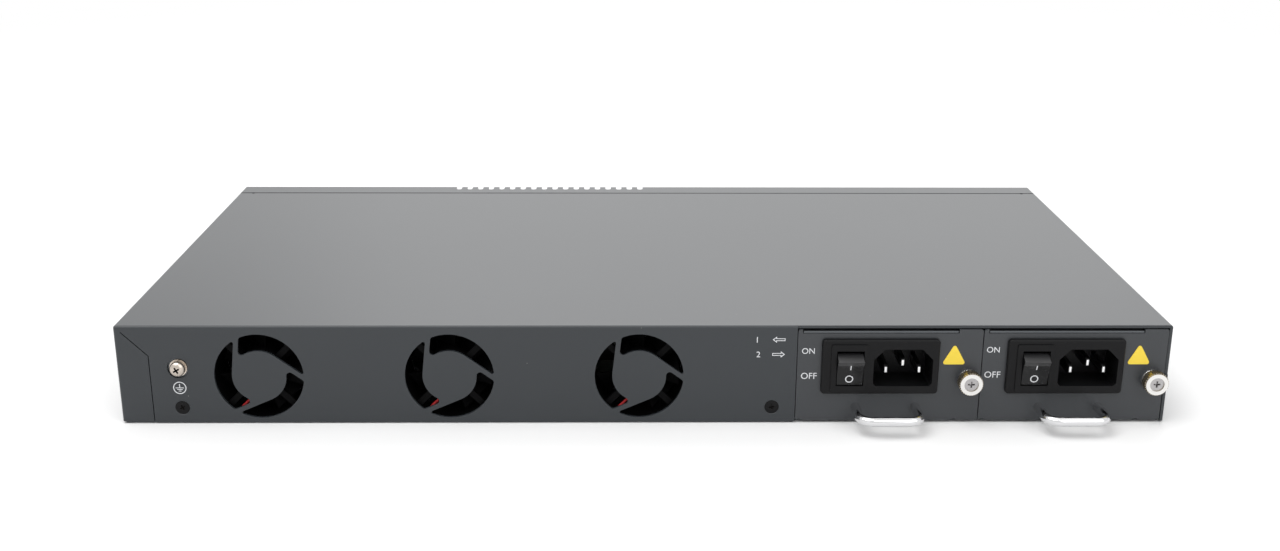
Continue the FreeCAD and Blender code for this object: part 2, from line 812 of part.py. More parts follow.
# -------------------------------------------------------------- front panel
front = Piece("front_panel")
front.pad("XZ", SEAM, "seam_back", rect(f"-{HALF}", "0", HALF, "case_high"))
front.dress("Fillet", "bend_round", lambda edge: (along(edge, V(0, 1, 0)) or along(edge, V(1, 0, 0)))
            and near(edge.CenterOfMass.z, "case_high")
            and not near(edge.CenterOfMass.y, SEAM) or (along(edge, V(0, 0, 1)) and near(edge.CenterOfMass.y, FRONT)))
front.pocket("XZ", f"{SEAM} - 1", "seam_back - sheet_thick + 1", rect(f"-{INNER}", "-1", INNER, CEILING))
front.pad("XZ", f"{SEAM} - tongue_deep", "tongue_deep + 2",
          rect(f"-{INNER} + tongue_in", f"{CEILING} - sheet_thick", f"{INNER} - tongue_in", CEILING))
slots = [
    front.pocket("XY", f"{CEILING} - sheet_thick - 1", "2 * sheet_thick + 2",
                 round_rect("vent_first - vent_wide / 2", f"{FRONT} - vent_deep", "vent_first + vent_wide / 2",
                            f"{FRONT} + 3", "vent_round")),
    front.pocket("XZ", f"{FRONT} - sheet_thick - 0.5", "sheet_thick + 1",
                 round_rect("vent_first - vent_wide / 2", "case_high - vent_drop", "vent_first + vent_wide / 2",
                            "case_high + 3", "vent_round")),
]
front.row(slots, "X", "vent_pitch * (vent_count - 1)", "vent_count")
COPPER_WIDE = "(copper_pitch * copper_count + 2 * copper_margin)"
CAGE_WIDE = "(cage_pitch * cage_count + 2 * cage_margin)"
PORT_FLOOR = "(board_level + board_thick)"
front.pocket("XZ", f"{FRONT} - sheet_thick - 0.5", "sheet_thick + 1",
             rect("copper_start - port_play", f"{PORT_FLOOR} - port_play",
                  f"copper_start + {COPPER_WIDE} + port_play", f"{PORT_FLOOR} + copper_high + port_play"),
             rect("cage_start - port_play", f"{PORT_FLOOR} - port_play",
                  f"cage_start + {CAGE_WIDE} + port_play", f"{PORT_FLOOR} + cage_high + port_play"),
             rect("console_start - port_play", f"{PORT_FLOOR} - port_play",
                  "console_start + console_wide + port_play", f"{PORT_FLOOR} + console_high + port_play"),
             circle("reset_x", "reset_level", "reset_radius + reset_play"))
light_hole = front.pocket("XZ", f"{FRONT} - sheet_thick - 0.5", "sheet_thick + 1",
                          circle("light_first", "light_level", "light_radius + port_play / 4"))
front.row([light_hole], "X", "light_pitch * (light_count - 1)", "light_count")
for start in (f"-{HALF} - 1", f"{INNER} - 1"):
    front.pocket("YZ", start, "sheet_thick + 2",
                 circle("side_screw_front", "screw_level", "screw_neck_radius + screw_play"))
front.dress("Chamfer", "screw_head_deep", sunk_rim)
nodes.append(front.body)

# ------------------------------------------------- countersunk cover screws
def sunk_screw(name, x, y, turn):
    """Flush cross-head screw whose head faces -Y before it is turned about Z."""
    screw = Piece(name)
    screw.turn(poly(("0", "0"), ("screw_head_radius", "0"), ("screw_neck_radius", "screw_head_deep"),
                    ("screw_shank_radius", "screw_head_deep"), ("screw_shank_radius", "screw_long"),
                    ("0", "screw_long")))
    screw.pocket("XZ", "-1", "cross_deep + 1",
                 rect("-cross_long", "-cross_wide / 2", "cross_long", "cross_wide / 2"))
    screw.pocket("XZ", "-1", "cross_deep + 1",
                 rect("-cross_wide / 2", "-cross_long", "cross_wide / 2", "cross_long"))
    screw.body.Placement = FreeCAD.Placement(V(), FreeCAD.Rotation(V(0, 0, 1), turn))
    screw.place(x, y, "screw_level")
    return screw.body


screws = [sunk_screw("cover_screw_left", "screw_left", f"{REAR} + screw_play", 0),
          sunk_screw("cover_screw_right", "screw_right", f"{REAR} + screw_play", 0)]
for spot in SIDE_SCREWS + ("side_screw_front",):
    screws.append(sunk_screw(f"{spot}_west", f"-{HALF} + screw_play", spot, -90))
    screws.append(sunk_screw(f"{spot}_east", f"{HALF} - screw_play", spot, 90))
nodes.append(join("cover_screws", screws))

# --------------------------------------------------------------- earth screw
EARTH_SEAT = WALL_BACK
earth = Piece("earth_screw")
HEAD_BACK = "(-earth_washer_thick - earth_spring_thick)"
earth.turn(poly(("0", f"{HEAD_BACK} - earth_head_long"),
                ("earth_head_radius * 0.6", f"{HEAD_BACK} - earth_head_long"),
                ("earth_head_radius", f"{HEAD_BACK} - earth_head_long * 0.5"),
                ("earth_head_radius", HEAD_BACK), ("earth_shank_radius", HEAD_BACK),
                ("earth_shank_radius", "earth_long"), ("0", "earth_long")))
for wide, high in (("earth_cross_long", "cross_wide / 2"), ("cross_wide / 2", "earth_cross_long")):
    earth.pocket("XZ", f"{HEAD_BACK} - earth_head_long - 1", "cross_deep + 1.6",
                 rect(f"-({wide})", f"-({high})", wide, high))
earth.place("earth_x", EARTH_SEAT, "earth_level")
nodes.append(earth.body)

washers = Piece("earth_washers")
washers.turn(rect("earth_shank_radius + screw_play", "-earth_washer_thick", "earth_washer_radius", "0"),
             )
washers.turn(rect("earth_shank_radius + screw_play", HEAD_BACK, "earth_spring_radius", "-earth_washer_thick"))
washers.pocket("XY", "0", "earth_washer_radius + 1",
               poly(("-0.1", f"{HEAD_BACK} - 0.1"), ("0.3", f"{HEAD_BACK} - 0.1"),
                    ("0.9", "-earth_washer_thick"), ("0.5", "-earth_washer_thick")))
washers.place("earth_x", EARTH_SEAT, "earth_level")
nodes.append(washers.body)

nut = Piece("earth_nut")
nut.turn(rect("earth_shank_radius + screw_play", "0", "earth_nut_radius", "earth_nut_long"))
nut.place("earth_x", f"{EARTH_SEAT} + sheet_thick", "earth_level")
nodes.append(nut.body)

# ---------------------------------------------------------------------- fans
FAN_Y = f"({REAR} + sheet_thick + fan_gap)"
for number in range(int(SIZES["fan_count"])):
    fan_x = f"(fan_first + {number} * fan_pitch)"
    frame = Piece(f"fan_frame_{number + 1}")
    HALF_FAN = "fan_side / 2"
    square = ("-fan_side / 2", "-fan_side / 2", "fan_side / 2", "fan_side / 2", "fan_round")
    frame.pad("XZ", "0", "fan_flange", round_rect(*square))
    frame.pad("XZ", "0", "fan_deep", circle("0", "0", "fan_duct"))
    frame.pad("XZ", "fan_deep - fan_flange", "fan_flange", round_rect(*square))
    frame.pocket("XZ", "-1", "fan_deep + 2", circle("0", "0", "fan_bore"))
    frame.pocket("XZ", "-1", "fan_deep + 2",
                 *[circle(f"{sx} * fan_hole_half", f"{sz} * fan_hole_half", "fan_hole_radius")
                   for sx in (-1, 1) for sz in (-1, 1)])
    strut = frame.pad("XZ", "0", "hub_thick",
                      rect("hub_radius - 1", "-strut_wide / 2", "fan_bore + 0.4", "strut_wide / 2"))
    strut.Profile[0].setExpression("AttachmentOffset.Rotation.Angle", "45")
    frame.ring([strut], "Y", "4")
    frame.pad("XZ", "0", "hub_thick", circle("0", "0", "hub_radius"))
    frame.pad("XZ", "0", "bearing_long", circle("0", "0", "bearing_radius"))
    frame.pocket("XZ", "hub_thick / 2", "bearing_long", circle("0", "0", "shaft_radius + shaft_play"))
    frame.place(fan_x, FAN_Y, "fan_level")
    nodes.append(frame.body)

    rotor = Piece(f"fan_rotor_{number + 1}")
    OPEN = "(hub_thick + rotor_gap)"
    rotor.turn(poly(("0", f"{OPEN}"), ("shaft_radius", OPEN),
                    ("shaft_radius", f"{OPEN} + rotor_long - rotor_wall"),
                    ("rotor_radius - rotor_wall", f"{OPEN} + rotor_long - rotor_wall"),
                    ("rotor_radius - rotor_wall", OPEN), ("rotor_radius", OPEN),
                    ("rotor_radius", f"{OPEN} + rotor_long"), ("0", f"{OPEN} + rotor_long")))
    sections = []
    for at, half, rise in (("blade_root", "blade_root_half", "blade_root_rise"),
                           ("blade_tip", "blade_tip_half", "blade_tip_rise")):
        start = f"{OPEN} + blade_low"
        sections.append(rotor.sketch("YZ", at, poly(
            (start, f"-{half}"), (f"{start} + blade_thick", f"-{half}"),
            (f"{start} + {rise} + blade_thick", half), (f"{start} + {rise}", half))))
    blade = rotor.new("PartDesign::AdditiveLoft", "blade")
    blade.Profile = sections[0]
    blade.Sections = [sections[1]]
    rotor.ring([blade], "Y", "blade_count")
    rotor.place(fan_x, FAN_Y, "fan_level")
    nodes.append(rotor.body)

leads = []
for number in range(int(SIZES["fan_count"])):
    for side, offset in (("red", "0"), ("black", "3 * wire_radius")):
        x = f"fan_first + {number} * fan_pitch"
        lane = f"{WALL_BACK} + fan_gap / 2"
        low = f"fan_level - wire_turn - {offset}"
        name = f"fan_lead_{side}_{number + 1}"
        rise = rod(f"{name}_rise", "X", f"{x} - wire_turn", lane, low, "wire_radius",
                   "(wire_turn - wire_hub) * sqrt(2)")
        rise.Placement = FreeCAD.Placement(V(), FreeCAD.Rotation(V(0, 1, 0), 45))
        run = rod(f"{name}_run", "X", f"{x} - wire_reach", lane, low, "wire_radius", "wire_reach - wire_turn")
        sleeve = rod(f"{name}_sleeve", "Y", f"{x} - wire_reach", f"{lane} - sleeve_radius", low,
                     "sleeve_radius", "wire_run")
        leads += [rise, run, sleeve]
    plug = block(f"fan_plug_{number + 1}",
                 (f"fan_first + {number} * fan_pitch - wire_reach - header_wide / 2",
                  f"fan_first + {number} * fan_pitch - wire_reach + header_wide / 2"),
                 (f"{REAR} + board_rear - header_deep", f"{REAR} + board_rear"),
                 ("2 * sheet_thick + 0.4", "2 * sheet_thick + 0.4 + header_high"))
    leads.append(plug)
nodes.append(join("fan_leads", leads))

bracket = Piece("fan_bracket")
BRACKET_Y = f"({FAN_Y} + fan_deep)"
FAN_LAST = "(fan_first + fan_pitch * (fan_count - 1))"
bracket.pad("XZ", BRACKET_Y, "sheet_thick",
            rect("fan_first - fan_side / 2 - bracket_in", "sheet_thick",
                 f"{FAN_LAST} + fan_side / 2 + bracket_in", "bracket_high"))
bracket.pad("XZ", BRACKET_Y, "bracket_foot",
            rect("fan_first - fan_side / 2 - bracket_in", "sheet_thick",
                 f"{FAN_LAST} + fan_side / 2 + bracket_in", "2 * sheet_thick"))
FAN_SPOTS = [(f"fan_first + {n} * fan_pitch", "fan_level") for n in range(int(SIZES["fan_count"]))]
bracket.pocket("XZ", f"{BRACKET_Y} - 1", "sheet_thick + 2", *[circle(x, z, "fan_bore") for x, z in FAN_SPOTS])
FAN_BOLTS = [(f"{x} + {sx} * fan_hole_half", f"{z} + {sz} * fan_hole_half")
             for x, z in FAN_SPOTS for sx in (-1, 1) for sz in (-1, 1)]
bracket.pocket("XZ", f"{BRACKET_Y} - 1", "sheet_thick + 2",
               *[circle(x, z, "fan_screw_radius + screw_play") for x, z in FAN_BOLTS])
bracket.pocket("XZ", f"{BRACKET_Y} - 1", "bracket_foot + 2",
               *[rect(f"{x} - wire_reach - bracket_notch", "fan_level - wire_turn - 2 * bracket_notch",
                      f"{x} - wire_reach + bracket_notch", "fan_level - wire_turn + bracket_notch")
                 for x, _ in FAN_SPOTS])
nodes.append(bracket.body)

bolts = []
for index, (x, z) in enumerate(FAN_BOLTS, start=1):
    shank = rod(f"fan_bolt_{index}", "Y", x, f"{BRACKET_Y} + sheet_thick - fan_screw_long", z,
                "fan_screw_radius", "fan_screw_long")
    head = rod(f"fan_bolt_head_{index}", "Y", x, f"{BRACKET_Y} + sheet_thick", z,
               "fan_screw_head", "fan_screw_high")
    bolts += [shank, head]
nodes.append(join("fan_screws", bolts))

# ---------------------------------------------------------------- power bays
BAY_END = f"({REAR} + bay_deep)"
DIVIDER_WEST = "(bay_first + recess_end + box_gap)"
DIVIDER_EAST = "(bay_first + bay_pitch + recess_start - 2 * box_gap)"
BRACKET_WEST = "(bay_first + bay_pitch + recess_end + box_gap)"
BRACKET_EAST = f"({INNER} - sheet_thick)"

wall = Piece("bay_wall")
wall.pad("XZ", WALL_BACK, f"{BAY_END} - {WALL_BACK}",
         rect("wall_end - 0.3 - bay_sheet", "sheet_thick", "wall_end - 0.3", "bay_top"))
wall.pad("XY", "sheet_thick", "bay_sheet",
         rect("wall_end - 0.3 - bay_sheet - bay_foot", f"{REAR} + 6", "wall_end - 0.3", BAY_END))
wall.pocket("XY", "sheet_thick - 1", "bay_sheet + 2",
            *[circle(x, y, "rivet_radius") for x, y in RIVET_SPOTS[0:3]])
nodes.append(wall.body)

for name, west, east, spots, thumb in (
        ("bay_divider", DIVIDER_WEST, DIVIDER_EAST, RIVET_SPOTS[3:6], "bay_first + thumb_x"),
        ("bay_bracket", BRACKET_WEST, BRACKET_EAST, RIVET_SPOTS[6:9], "bay_first + bay_pitch + thumb_x")):
    channel = Piece(name)
    channel.pad("XZ", f"{REAR} + floor_back", f"{BAY_END} - ({REAR} + floor_back)",
                poly((west, "sheet_thick"), (east, "sheet_thick"), (east, "bay_top"),
                     (f"{east} - bay_sheet", "bay_top"), (f"{east} - bay_sheet", "sheet_thick + bay_sheet"),
                     (f"{west} + bay_sheet", "sheet_thick + bay_sheet"), (f"{west} + bay_sheet", "bay_top"),
                     (west, "bay_top")))
    channel.pad("XZ", WALL_BACK, "floor_back - sheet_thick",
                rect(west, "tab_low", f"{west} + bay_sheet", "tab_high"))
    channel.pad("XZ", WALL_BACK, "sheet_thick", rect(west, "tab_low", f"{east} - 0.6", "tab_high"))
    channel.pocket("XZ", f"{WALL_BACK} - 1", "sheet_thick + 2", circle(thumb, "thumb_level", "thumb_tab_hole"))
    channel.pocket("XY", "sheet_thick - 1", "bay_sheet + 2", *[circle(x, y, "rivet_radius") for x, y in spots])
    if name == "bay_bracket":
        channel.pocket("YZ", f"{east} - bay_sheet - 1", "bay_sheet + 2",
                       *[circle(y, "screw_level", "screw_shank_radius + screw_play") for y in SIDE_SCREWS])
    nodes.append(channel.body)

rivets = []
for index, (x, y) in enumerate(RIVET_SPOTS, start=1):
    rivets.append(rod(f"rivet_{index}", "Z", x, y, "0", "rivet_radius", "sheet_thick + bay_sheet"))
    rivets.append(rod(f"rivet_head_{index}", "Z", x, y, "sheet_thick + bay_sheet", "rivet_head", "rivet_high"))
nodes.append(join("bay_rivets", rivets))

nuts = []
for index in range(2):
    x = f"bay_first + {index} * bay_pitch + thumb_x"
    seat = f"{WALL_BACK} + sheet_thick"
    outer = rod(f"thumb_nut_outer_{index}", "Y", x, seat, "thumb_level", "thumb_nut_radius", "thumb_nut_long")
    inner = rod(f"thumb_nut_inner_{index}", "Y", x, f"{seat} - 1", "thumb_level",
                "thumb_shank + thumb_play", "thumb_nut_long + 2")
    nuts.append(cut(f"thumb_nut_{index}", outer, [inner]))
nodes.append(join("thumb_nuts", nuts))

backplane = block("power_backplane", ("wall_end + 2", f"{INNER} - sheet_thick - 2"),
                  (f"{REAR} + backplane_y", f"{REAR} + backplane_y + board_thick"),
                  (PORT_FLOOR, "backplane_high"))
backplane.Label = "power_backplane"
nodes.append(backplane)

sockets = []
TONGUE_MID = "(recess_start + recess_end) / 2"
TONGUE_LEVEL = "(sheet_thick + unit_board_level)"
for index in range(2):
    middle = f"bay_first + {index} * bay_pitch + {TONGUE_MID}"
    shell = block(f"socket_shell_{index}", (f"{middle} - socket_wide / 2", f"{middle} + socket_wide / 2"),
                  (f"{REAR} + backplane_y - socket_deep", f"{REAR} + backplane_y"),
                  (f"{TONGUE_LEVEL} + board_thick / 2 - socket_high / 2", f"{TONGUE_LEVEL} + board_thick / 2 + socket_high / 2"))
    gap = block(f"socket_gap_{index}", (f"{middle} - tongue_half - 0.4", f"{middle} + tongue_half + 0.4"),
                (f"{REAR} + backplane_y - socket_deep - 1", f"{REAR} + backplane_y - 1.2"),
                (f"{TONGUE_LEVEL} + board_thick / 2 - socket_slot / 2", f"{TONGUE_LEVEL} + board_thick / 2 + socket_slot / 2"))
    sockets.append(cut(f"power_socket_{index}", shell, [gap]))
nodes.append(join("power_sockets", sockets))

# ------------------------------------------------------- main board and ports
BOARD_WEST = f"(-{INNER} + board_side)"
BOARD_EAST = f"({INNER} - board_side)"
BOARD_REAR = f"({REAR} + board_rear)"
BOARD_NOTCH = f"({REAR} + board_notch_y)"
BOARD_FRONT = f"({FRONT} - sheet_thick - board_front)"
STANDS = [(x, y) for x in (f"{BOARD_WEST} + stand_in", "0", f"board_notch_x - bay_foot - stand_in")
          for y in (f"{BOARD_REAR} + stand_in", f"{BOARD_NOTCH} - stand_in")]
STANDS += [(x, f"{BOARD_FRONT} - stand_in") for x in (f"{BOARD_WEST} + stand_in", f"{BOARD_EAST} - stand_in")]
board = Piece("main_board")
board.pad("XY", "board_level", "board_thick",
          poly((BOARD_WEST, BOARD_REAR), ("board_notch_x - bay_foot", BOARD_REAR),
               ("board_notch_x - bay_foot", BOARD_NOTCH), (BOARD_EAST, BOARD_NOTCH),
               (BOARD_EAST, BOARD_FRONT), (BOARD_WEST, BOARD_FRONT)))
board.pocket("XY", "board_level - 1", "board_thick + 2", *[circle(x, y, "stand_hole") for x, y in STANDS])
nodes.append(board.body)

stands = Piece("board_standoffs")
stands.pad("XY", "sheet_thick", "board_level - sheet_thick",
           *[circle(x, y, "stand_radius") for x, y in STANDS],
           *[circle(x, y, "stand_hole") for x, y in STANDS])
nodes.append(stands.body)

pins = []
for index, (x, y) in enumerate(STANDS, start=1):
    pins.append(rod(f"board_pin_{index}", "Z", x, y, f"{PORT_FLOOR} - board_screw_long + 0.4",
                    "board_screw_radius", "board_screw_long"))
    pins.append(rod(f"board_pin_head_{index}", "Z", x, y, PORT_FLOOR, "board_screw_head", "board_screw_high"))
nodes.append(join("board_screws", pins))

chips = [block("chip_main", ("sink_x - chip_side / 2", "sink_x + chip_side / 2"),
               ("sink_y - chip_side / 2", "sink_y + chip_side / 2"), (PORT_FLOOR, f"{PORT_FLOOR} + chip_high"))]
for kind, first, y, pitch, side in (
        ("memory", f"{BOARD_WEST} + memory_in", f"{SEAM} - memory_back", "memory_pitch", "memory_side"),
        ("driver", f"{BOARD_WEST} + memory_in", f"{BOARD_REAR} + driver_front", "driver_pitch", "driver_side")):
    for index in range(4):
        x = f"{first} + {index} * {pitch}"
        chips.append(block(f"{kind}_{index}", (x, f"{x} + {side}"), (y, f"{y} + {side}"),
                           (PORT_FLOOR, f"{PORT_FLOOR} + small_chip_high")))
for index in range(6):
    chips.append(rod(f"filter_{index}", "Z", f"{BOARD_WEST} + filter_in + {index} * filter_pitch",
                     f"{BOARD_REAR} + filter_front", PORT_FLOOR, "filter_radius", "filter_high"))
nodes.append(join("board_chips", chips))

sink = Piece("heat_sink")
SINK_LOW = f"({PORT_FLOOR} + chip_high)"
sink.pad("XY", SINK_LOW, "sink_base",
         rect("sink_x - sink_side / 2", "sink_y - sink_side / 2", "sink_x + sink_side / 2", "sink_y + sink_side / 2"))
fin = sink.pad("XY", f"{SINK_LOW} + sink_base - 0.5", "sink_high - sink_base + 0.5",
               rect("sink_x - sink_side / 2", "sink_y - sink_side / 2",
                    "sink_x - sink_side / 2 + sink_fin", "sink_y + sink_side / 2"))
sink.row([fin], "X", "sink_pitch * 11", "12")
nodes.append(sink.body)

copper = Piece("copper_ports")
PORT_FACE = f"({FRONT} + 0.2)"
copper.pad("XZ", f"{PORT_FACE} - copper_deep", "copper_deep",
           rect("copper_start", PORT_FLOOR, f"copper_start + {COPPER_WIDE}", f"{PORT_FLOOR} + copper_high"))
COPPER_X = "(copper_start + copper_margin + (copper_pitch - copper_hole_wide) / 2)"
mouths = copper.pocket("XZ", f"{PORT_FACE} - copper_hole_deep", "copper_hole_deep + 1",
                       *[rect(COPPER_X, f"{PORT_FLOOR} + copper_hole_low + {n} * copper_hole_apart",
                              f"{COPPER_X} + copper_hole_wide",
                              f"{PORT_FLOOR} + copper_hole_low + {n} * copper_hole_apart + copper_hole_high")
                         for n in (0, 1)])
copper.row([mouths], "X", "copper_pitch * (copper_count - 1)", "copper_count")
nodes.append(copper.body)

cages = Piece("fibre_cages")
cages.pad("XZ", f"{PORT_FACE} - cage_deep", "cage_deep",
          rect("cage_start", PORT_FLOOR, f"cage_start + {CAGE_WIDE}", f"{PORT_FLOOR} + cage_high"))
CAGE_X = "(cage_start + cage_margin + (cage_pitch - cage_hole_wide) / 2)"
mouths = cages.pocket("XZ", f"{PORT_FACE} - cage_hole_deep", "cage_hole_deep + 1",
                      *[rect(CAGE_X, f"{PORT_FLOOR} + cage_hole_low + {n} * cage_hole_apart",
                             f"{CAGE_X} + cage_hole_wide",
                             f"{PORT_FLOOR} + cage_hole_low + {n} * cage_hole_apart + cage_hole_high")
                        for n in (0, 1)])
cages.row([mouths], "X", "cage_pitch * (cage_count - 1)", "cage_count")
nodes.append(cages.body)

console = Piece("console_port")
console.pad("XZ", f"{PORT_FACE} - copper_deep", "copper_deep",
            rect("console_start", PORT_FLOOR, "console_start + console_wide", f"{PORT_FLOOR} + console_high"))
CONSOLE_X = "(console_start + (console_wide - copper_hole_wide) / 2)"
console.pocket("XZ", f"{PORT_FACE} - copper_hole_deep", "copper_hole_deep + 1",
               rect(CONSOLE_X, f"{PORT_FLOOR} + copper_hole_low", f"{CONSOLE_X} + copper_hole_wide",
                    f"{PORT_FLOOR} + copper_hole_low + copper_hole_high"))
nodes.append(console.body)

lights = Piece("light_pipes")
lights.pad("XZ", f"{FRONT} - sheet_thick - light_block_deep", "light_block_deep",
           rect("light_first - light_pitch / 2", PORT_FLOOR,
                "light_first + light_pitch * (light_count - 0.5)", "light_level + light_block_high / 2"))
pipe = lights.pad("XZ", f"{FRONT} - sheet_thick - 2", "sheet_thick + 2.3", circle("light_first", "light_level", "light_radius"))
lights.row([pipe], "X", "light_pitch * (light_count - 1)", "light_count")
nodes.append(lights.body)

RESET_FACE = f"({FRONT} - reset_sunk)"
button = Piece("reset_button")
button.pad("XZ", f"{RESET_FACE} - reset_long", "reset_long", circle("reset_x", "reset_level", "reset_radius"))
button.pad("XZ", f"{RESET_FACE} - reset_long", "1.2",
           rect("reset_x - reset_plate / 2", "reset_level - reset_plate / 2",
                "reset_x + reset_plate / 2", "reset_level + reset_plate / 2"))
nodes.append(button.body)

reset = Piece("reset_switch")
RESET_SEAT = f"({RESET_FACE} - reset_long - reset_travel - 0.3)"
reset.pad("XZ", f"{RESET_SEAT} - 4", "4",
          rect("reset_x - 4", PORT_FLOOR, "reset_x + 4", "reset_level + 4"))
reset.pad("XZ", RESET_SEAT, "6.5",
          rect("reset_x - 4", PORT_FLOOR, "reset_x - 3", "reset_level + 4"),
          rect("reset_x + 3", PORT_FLOOR, "reset_x + 4", "reset_level + 4"),
          rect("reset_x - 3", PORT_FLOOR, "reset_x + 3", f"{PORT_FLOOR} + 1"),
          rect("reset_x - 3", "reset_level + 3", "reset_x + 3", "reset_level + 4"))
nodes.append(reset.body)


# ------------------------------------------------------------- power modules
BOX_LOW = "sheet_thick"
BOX_TOP = "(recess_low + 0.2)"
PLATE = "panel_thick"
for unit in (1, 2):
    spot = (f"bay_first + {unit - 1} * bay_pitch", REAR, "0")

    panel = Piece(f"psu_panel_{unit}")
    NOTCH = "notch_wide / 2"
    panel.pad("XZ", "0", PLATE,
              poly(("-panel_wide / 2", BOX_LOW), ("recess_start - notch_wide / 2", BOX_LOW),
                   ("recess_start - notch_wide / 2", f"{BOX_LOW} + notch_high"),
                   ("recess_start + notch_wide / 2", f"{BOX_LOW} + notch_high"),
                   ("recess_start + notch_wide / 2", BOX_LOW), ("recess_end - notch_wide / 2", BOX_LOW),
                   ("recess_end - notch_wide / 2", f"{BOX_LOW} + notch_high"),
                   ("recess_end + notch_wide / 2", f"{BOX_LOW} + notch_high"),
                   ("recess_end + notch_wide / 2", BOX_LOW), ("panel_wide / 2", BOX_LOW),
                   ("panel_wide / 2", "panel_top"), ("recess_end", "panel_top"), ("recess_end", "recess_low"),
                   ("recess_start", "recess_low"), ("recess_start", "panel_top"), ("-panel_wide / 2", "panel_top")))
    panel.dress("Fillet", "panel_round", lambda edge: along(edge, V(0, 1, 0))
                and near(abs(edge.CenterOfMass.x), "panel_wide / 2"))
    LIP = "inlet_lip - inlet_play"
    panel.pocket("XZ", "-1", "panel_thick + 2",
                 rect(f"inlet_start + {LIP}", f"inlet_low + {LIP}", f"inlet_end - ({LIP})", f"inlet_high - ({LIP})"),
                 circle("thumb_x", "thumb_level", "ferrule_tube"),
                 *[circle(f"handle_middle + {s} * handle_apart / 2", "handle_level", "handle_bore + screw_play")
                   for s in (-1, 1)])
    nodes.append(panel.place(*spot).body)

    box = Piece(f"psu_case_{unit}")
    box.pad("XZ", PLATE, "box_long", rect("recess_start", BOX_LOW, "recess_end", BOX_TOP))
    box.pocket("XZ", "panel_thick - 1", "box_long - box_sheet + 1",
               rect("recess_start + box_sheet", f"{BOX_LOW} + box_sheet", "recess_end - box_sheet", f"{BOX_TOP} + 1"))
    box.pad("XZ", "panel_thick * 0.2", "box_long + panel_thick * 0.8",
            rect("recess_start + box_gap", BOX_TOP, "recess_end - box_gap", "box_top"))
    box.pocket("XZ", "box_long - 1", "box_sheet + 4",
               rect(f"{TONGUE_MID} - tongue_half - 1", f"{TONGUE_LEVEL} - 1.6",
                    f"{TONGUE_MID} + tongue_half + 1", f"{TONGUE_LEVEL} + 3"))
    grid = box.pocket("XZ", "box_long - 1", "box_sheet + 4",
                      rect("recess_start + 6", "14", "recess_start + 6 + box_vent_wide", "14 + box_vent_high"))
    box.row([grid], "X", "box_vent_pitch * (box_vent_count - 1)", "box_vent_count")
    POSTS = [(x, y) for x in ("recess_start + post_in", "recess_end - post_in")
             for y in ("unit_board_start + post_in", "box_long - unit_board_end - post_in")]
    box.pad("XY", f"{BOX_LOW} + box_sheet / 2", f"{TONGUE_LEVEL} - {BOX_LOW} - box_sheet / 2",
            *[circle(x, y, "post_radius") for x, y in POSTS])
    nodes.append(box.place(*spot).body)

    inlet = Piece(f"psu_inlet_{unit}")
    inlet.pad("XZ", "-inlet_proud", "inlet_proud",
              round_rect("inlet_start", "inlet_low", "inlet_end", "inlet_high", "inlet_round"))
    inlet.dress("Fillet", "0.8", lambda edge: near(edge.CenterOfMass.y, "-inlet_proud"))
    inlet.pad("XZ", "-0.5", "inlet_deep + 0.5",
              rect("inlet_start + inlet_lip", "inlet_low + inlet_lip", "inlet_end - inlet_lip", "inlet_high - inlet_lip"))
    inlet.pad("XZ", "-inlet_proud - rim_proud", "rim_proud + 0.5",
              round_rect("rim_start", "rim_low", "rim_end", "rim_high", "0.8"))
    inlet.pocket("XZ", "-inlet_proud - rim_proud - 1", "inlet_proud + rim_proud + 1 + window_deep",
                 rect("window_start", "window_low", "window_end", "window_high"))
    inlet.pocket("XZ", "-inlet_proud - 1", "inlet_proud + 1 + plug_deep",
                 poly(("plug_start", "plug_low + 1.2"), ("plug_start + 1.2", "plug_low"),
                      ("plug_end - 1.2", "plug_low"), ("plug_end", "plug_low + 1.2"),
                      ("plug_end", "plug_top - plug_corner"), ("plug_end - plug_corner", "plug_top"),
                      ("plug_start + plug_corner", "plug_top"), ("plug_start", "plug_top - plug_corner")))
    BLADES = [("pin_middle - pin_apart", "pin_level"), ("pin_middle", "pin_level + pin_earth_up"),
              ("pin_middle + pin_apart", "pin_level")]
    inlet.pocket("XZ", "plug_deep - 1", "inlet_deep",
                 *[rect(f"{x} - pin_wide / 2", f"{z} - pin_high / 2", f"{x} + pin_wide / 2", f"{z} + pin_high / 2")
                   for x, z in BLADES])
    inlet.pocket("YZ", "window_start - rocker_stub_long - 0.2", "window_end - window_start + 2 * rocker_stub_long + 0.4",
                 circle("rocker_axis_y", "(window_low + window_high) / 2", "rocker_stub + rocker_stub_play"))
    nodes.append(inlet.place(*spot).body)

    prongs = Piece(f"psu_pins_{unit}")
    prongs.pad("XZ", "-pin_tip", "pin_tip + pin_tail",
               *[rect(f"{x} - pin_wide / 2", f"{z} - pin_high / 2", f"{x} + pin_wide / 2", f"{z} + pin_high / 2")
                 for x, z in BLADES])
    prongs.dress("Chamfer", "0.5", lambda edge: near(edge.CenterOfMass.y, "-pin_tip"))
    nodes.append(prongs.place(*spot).body)

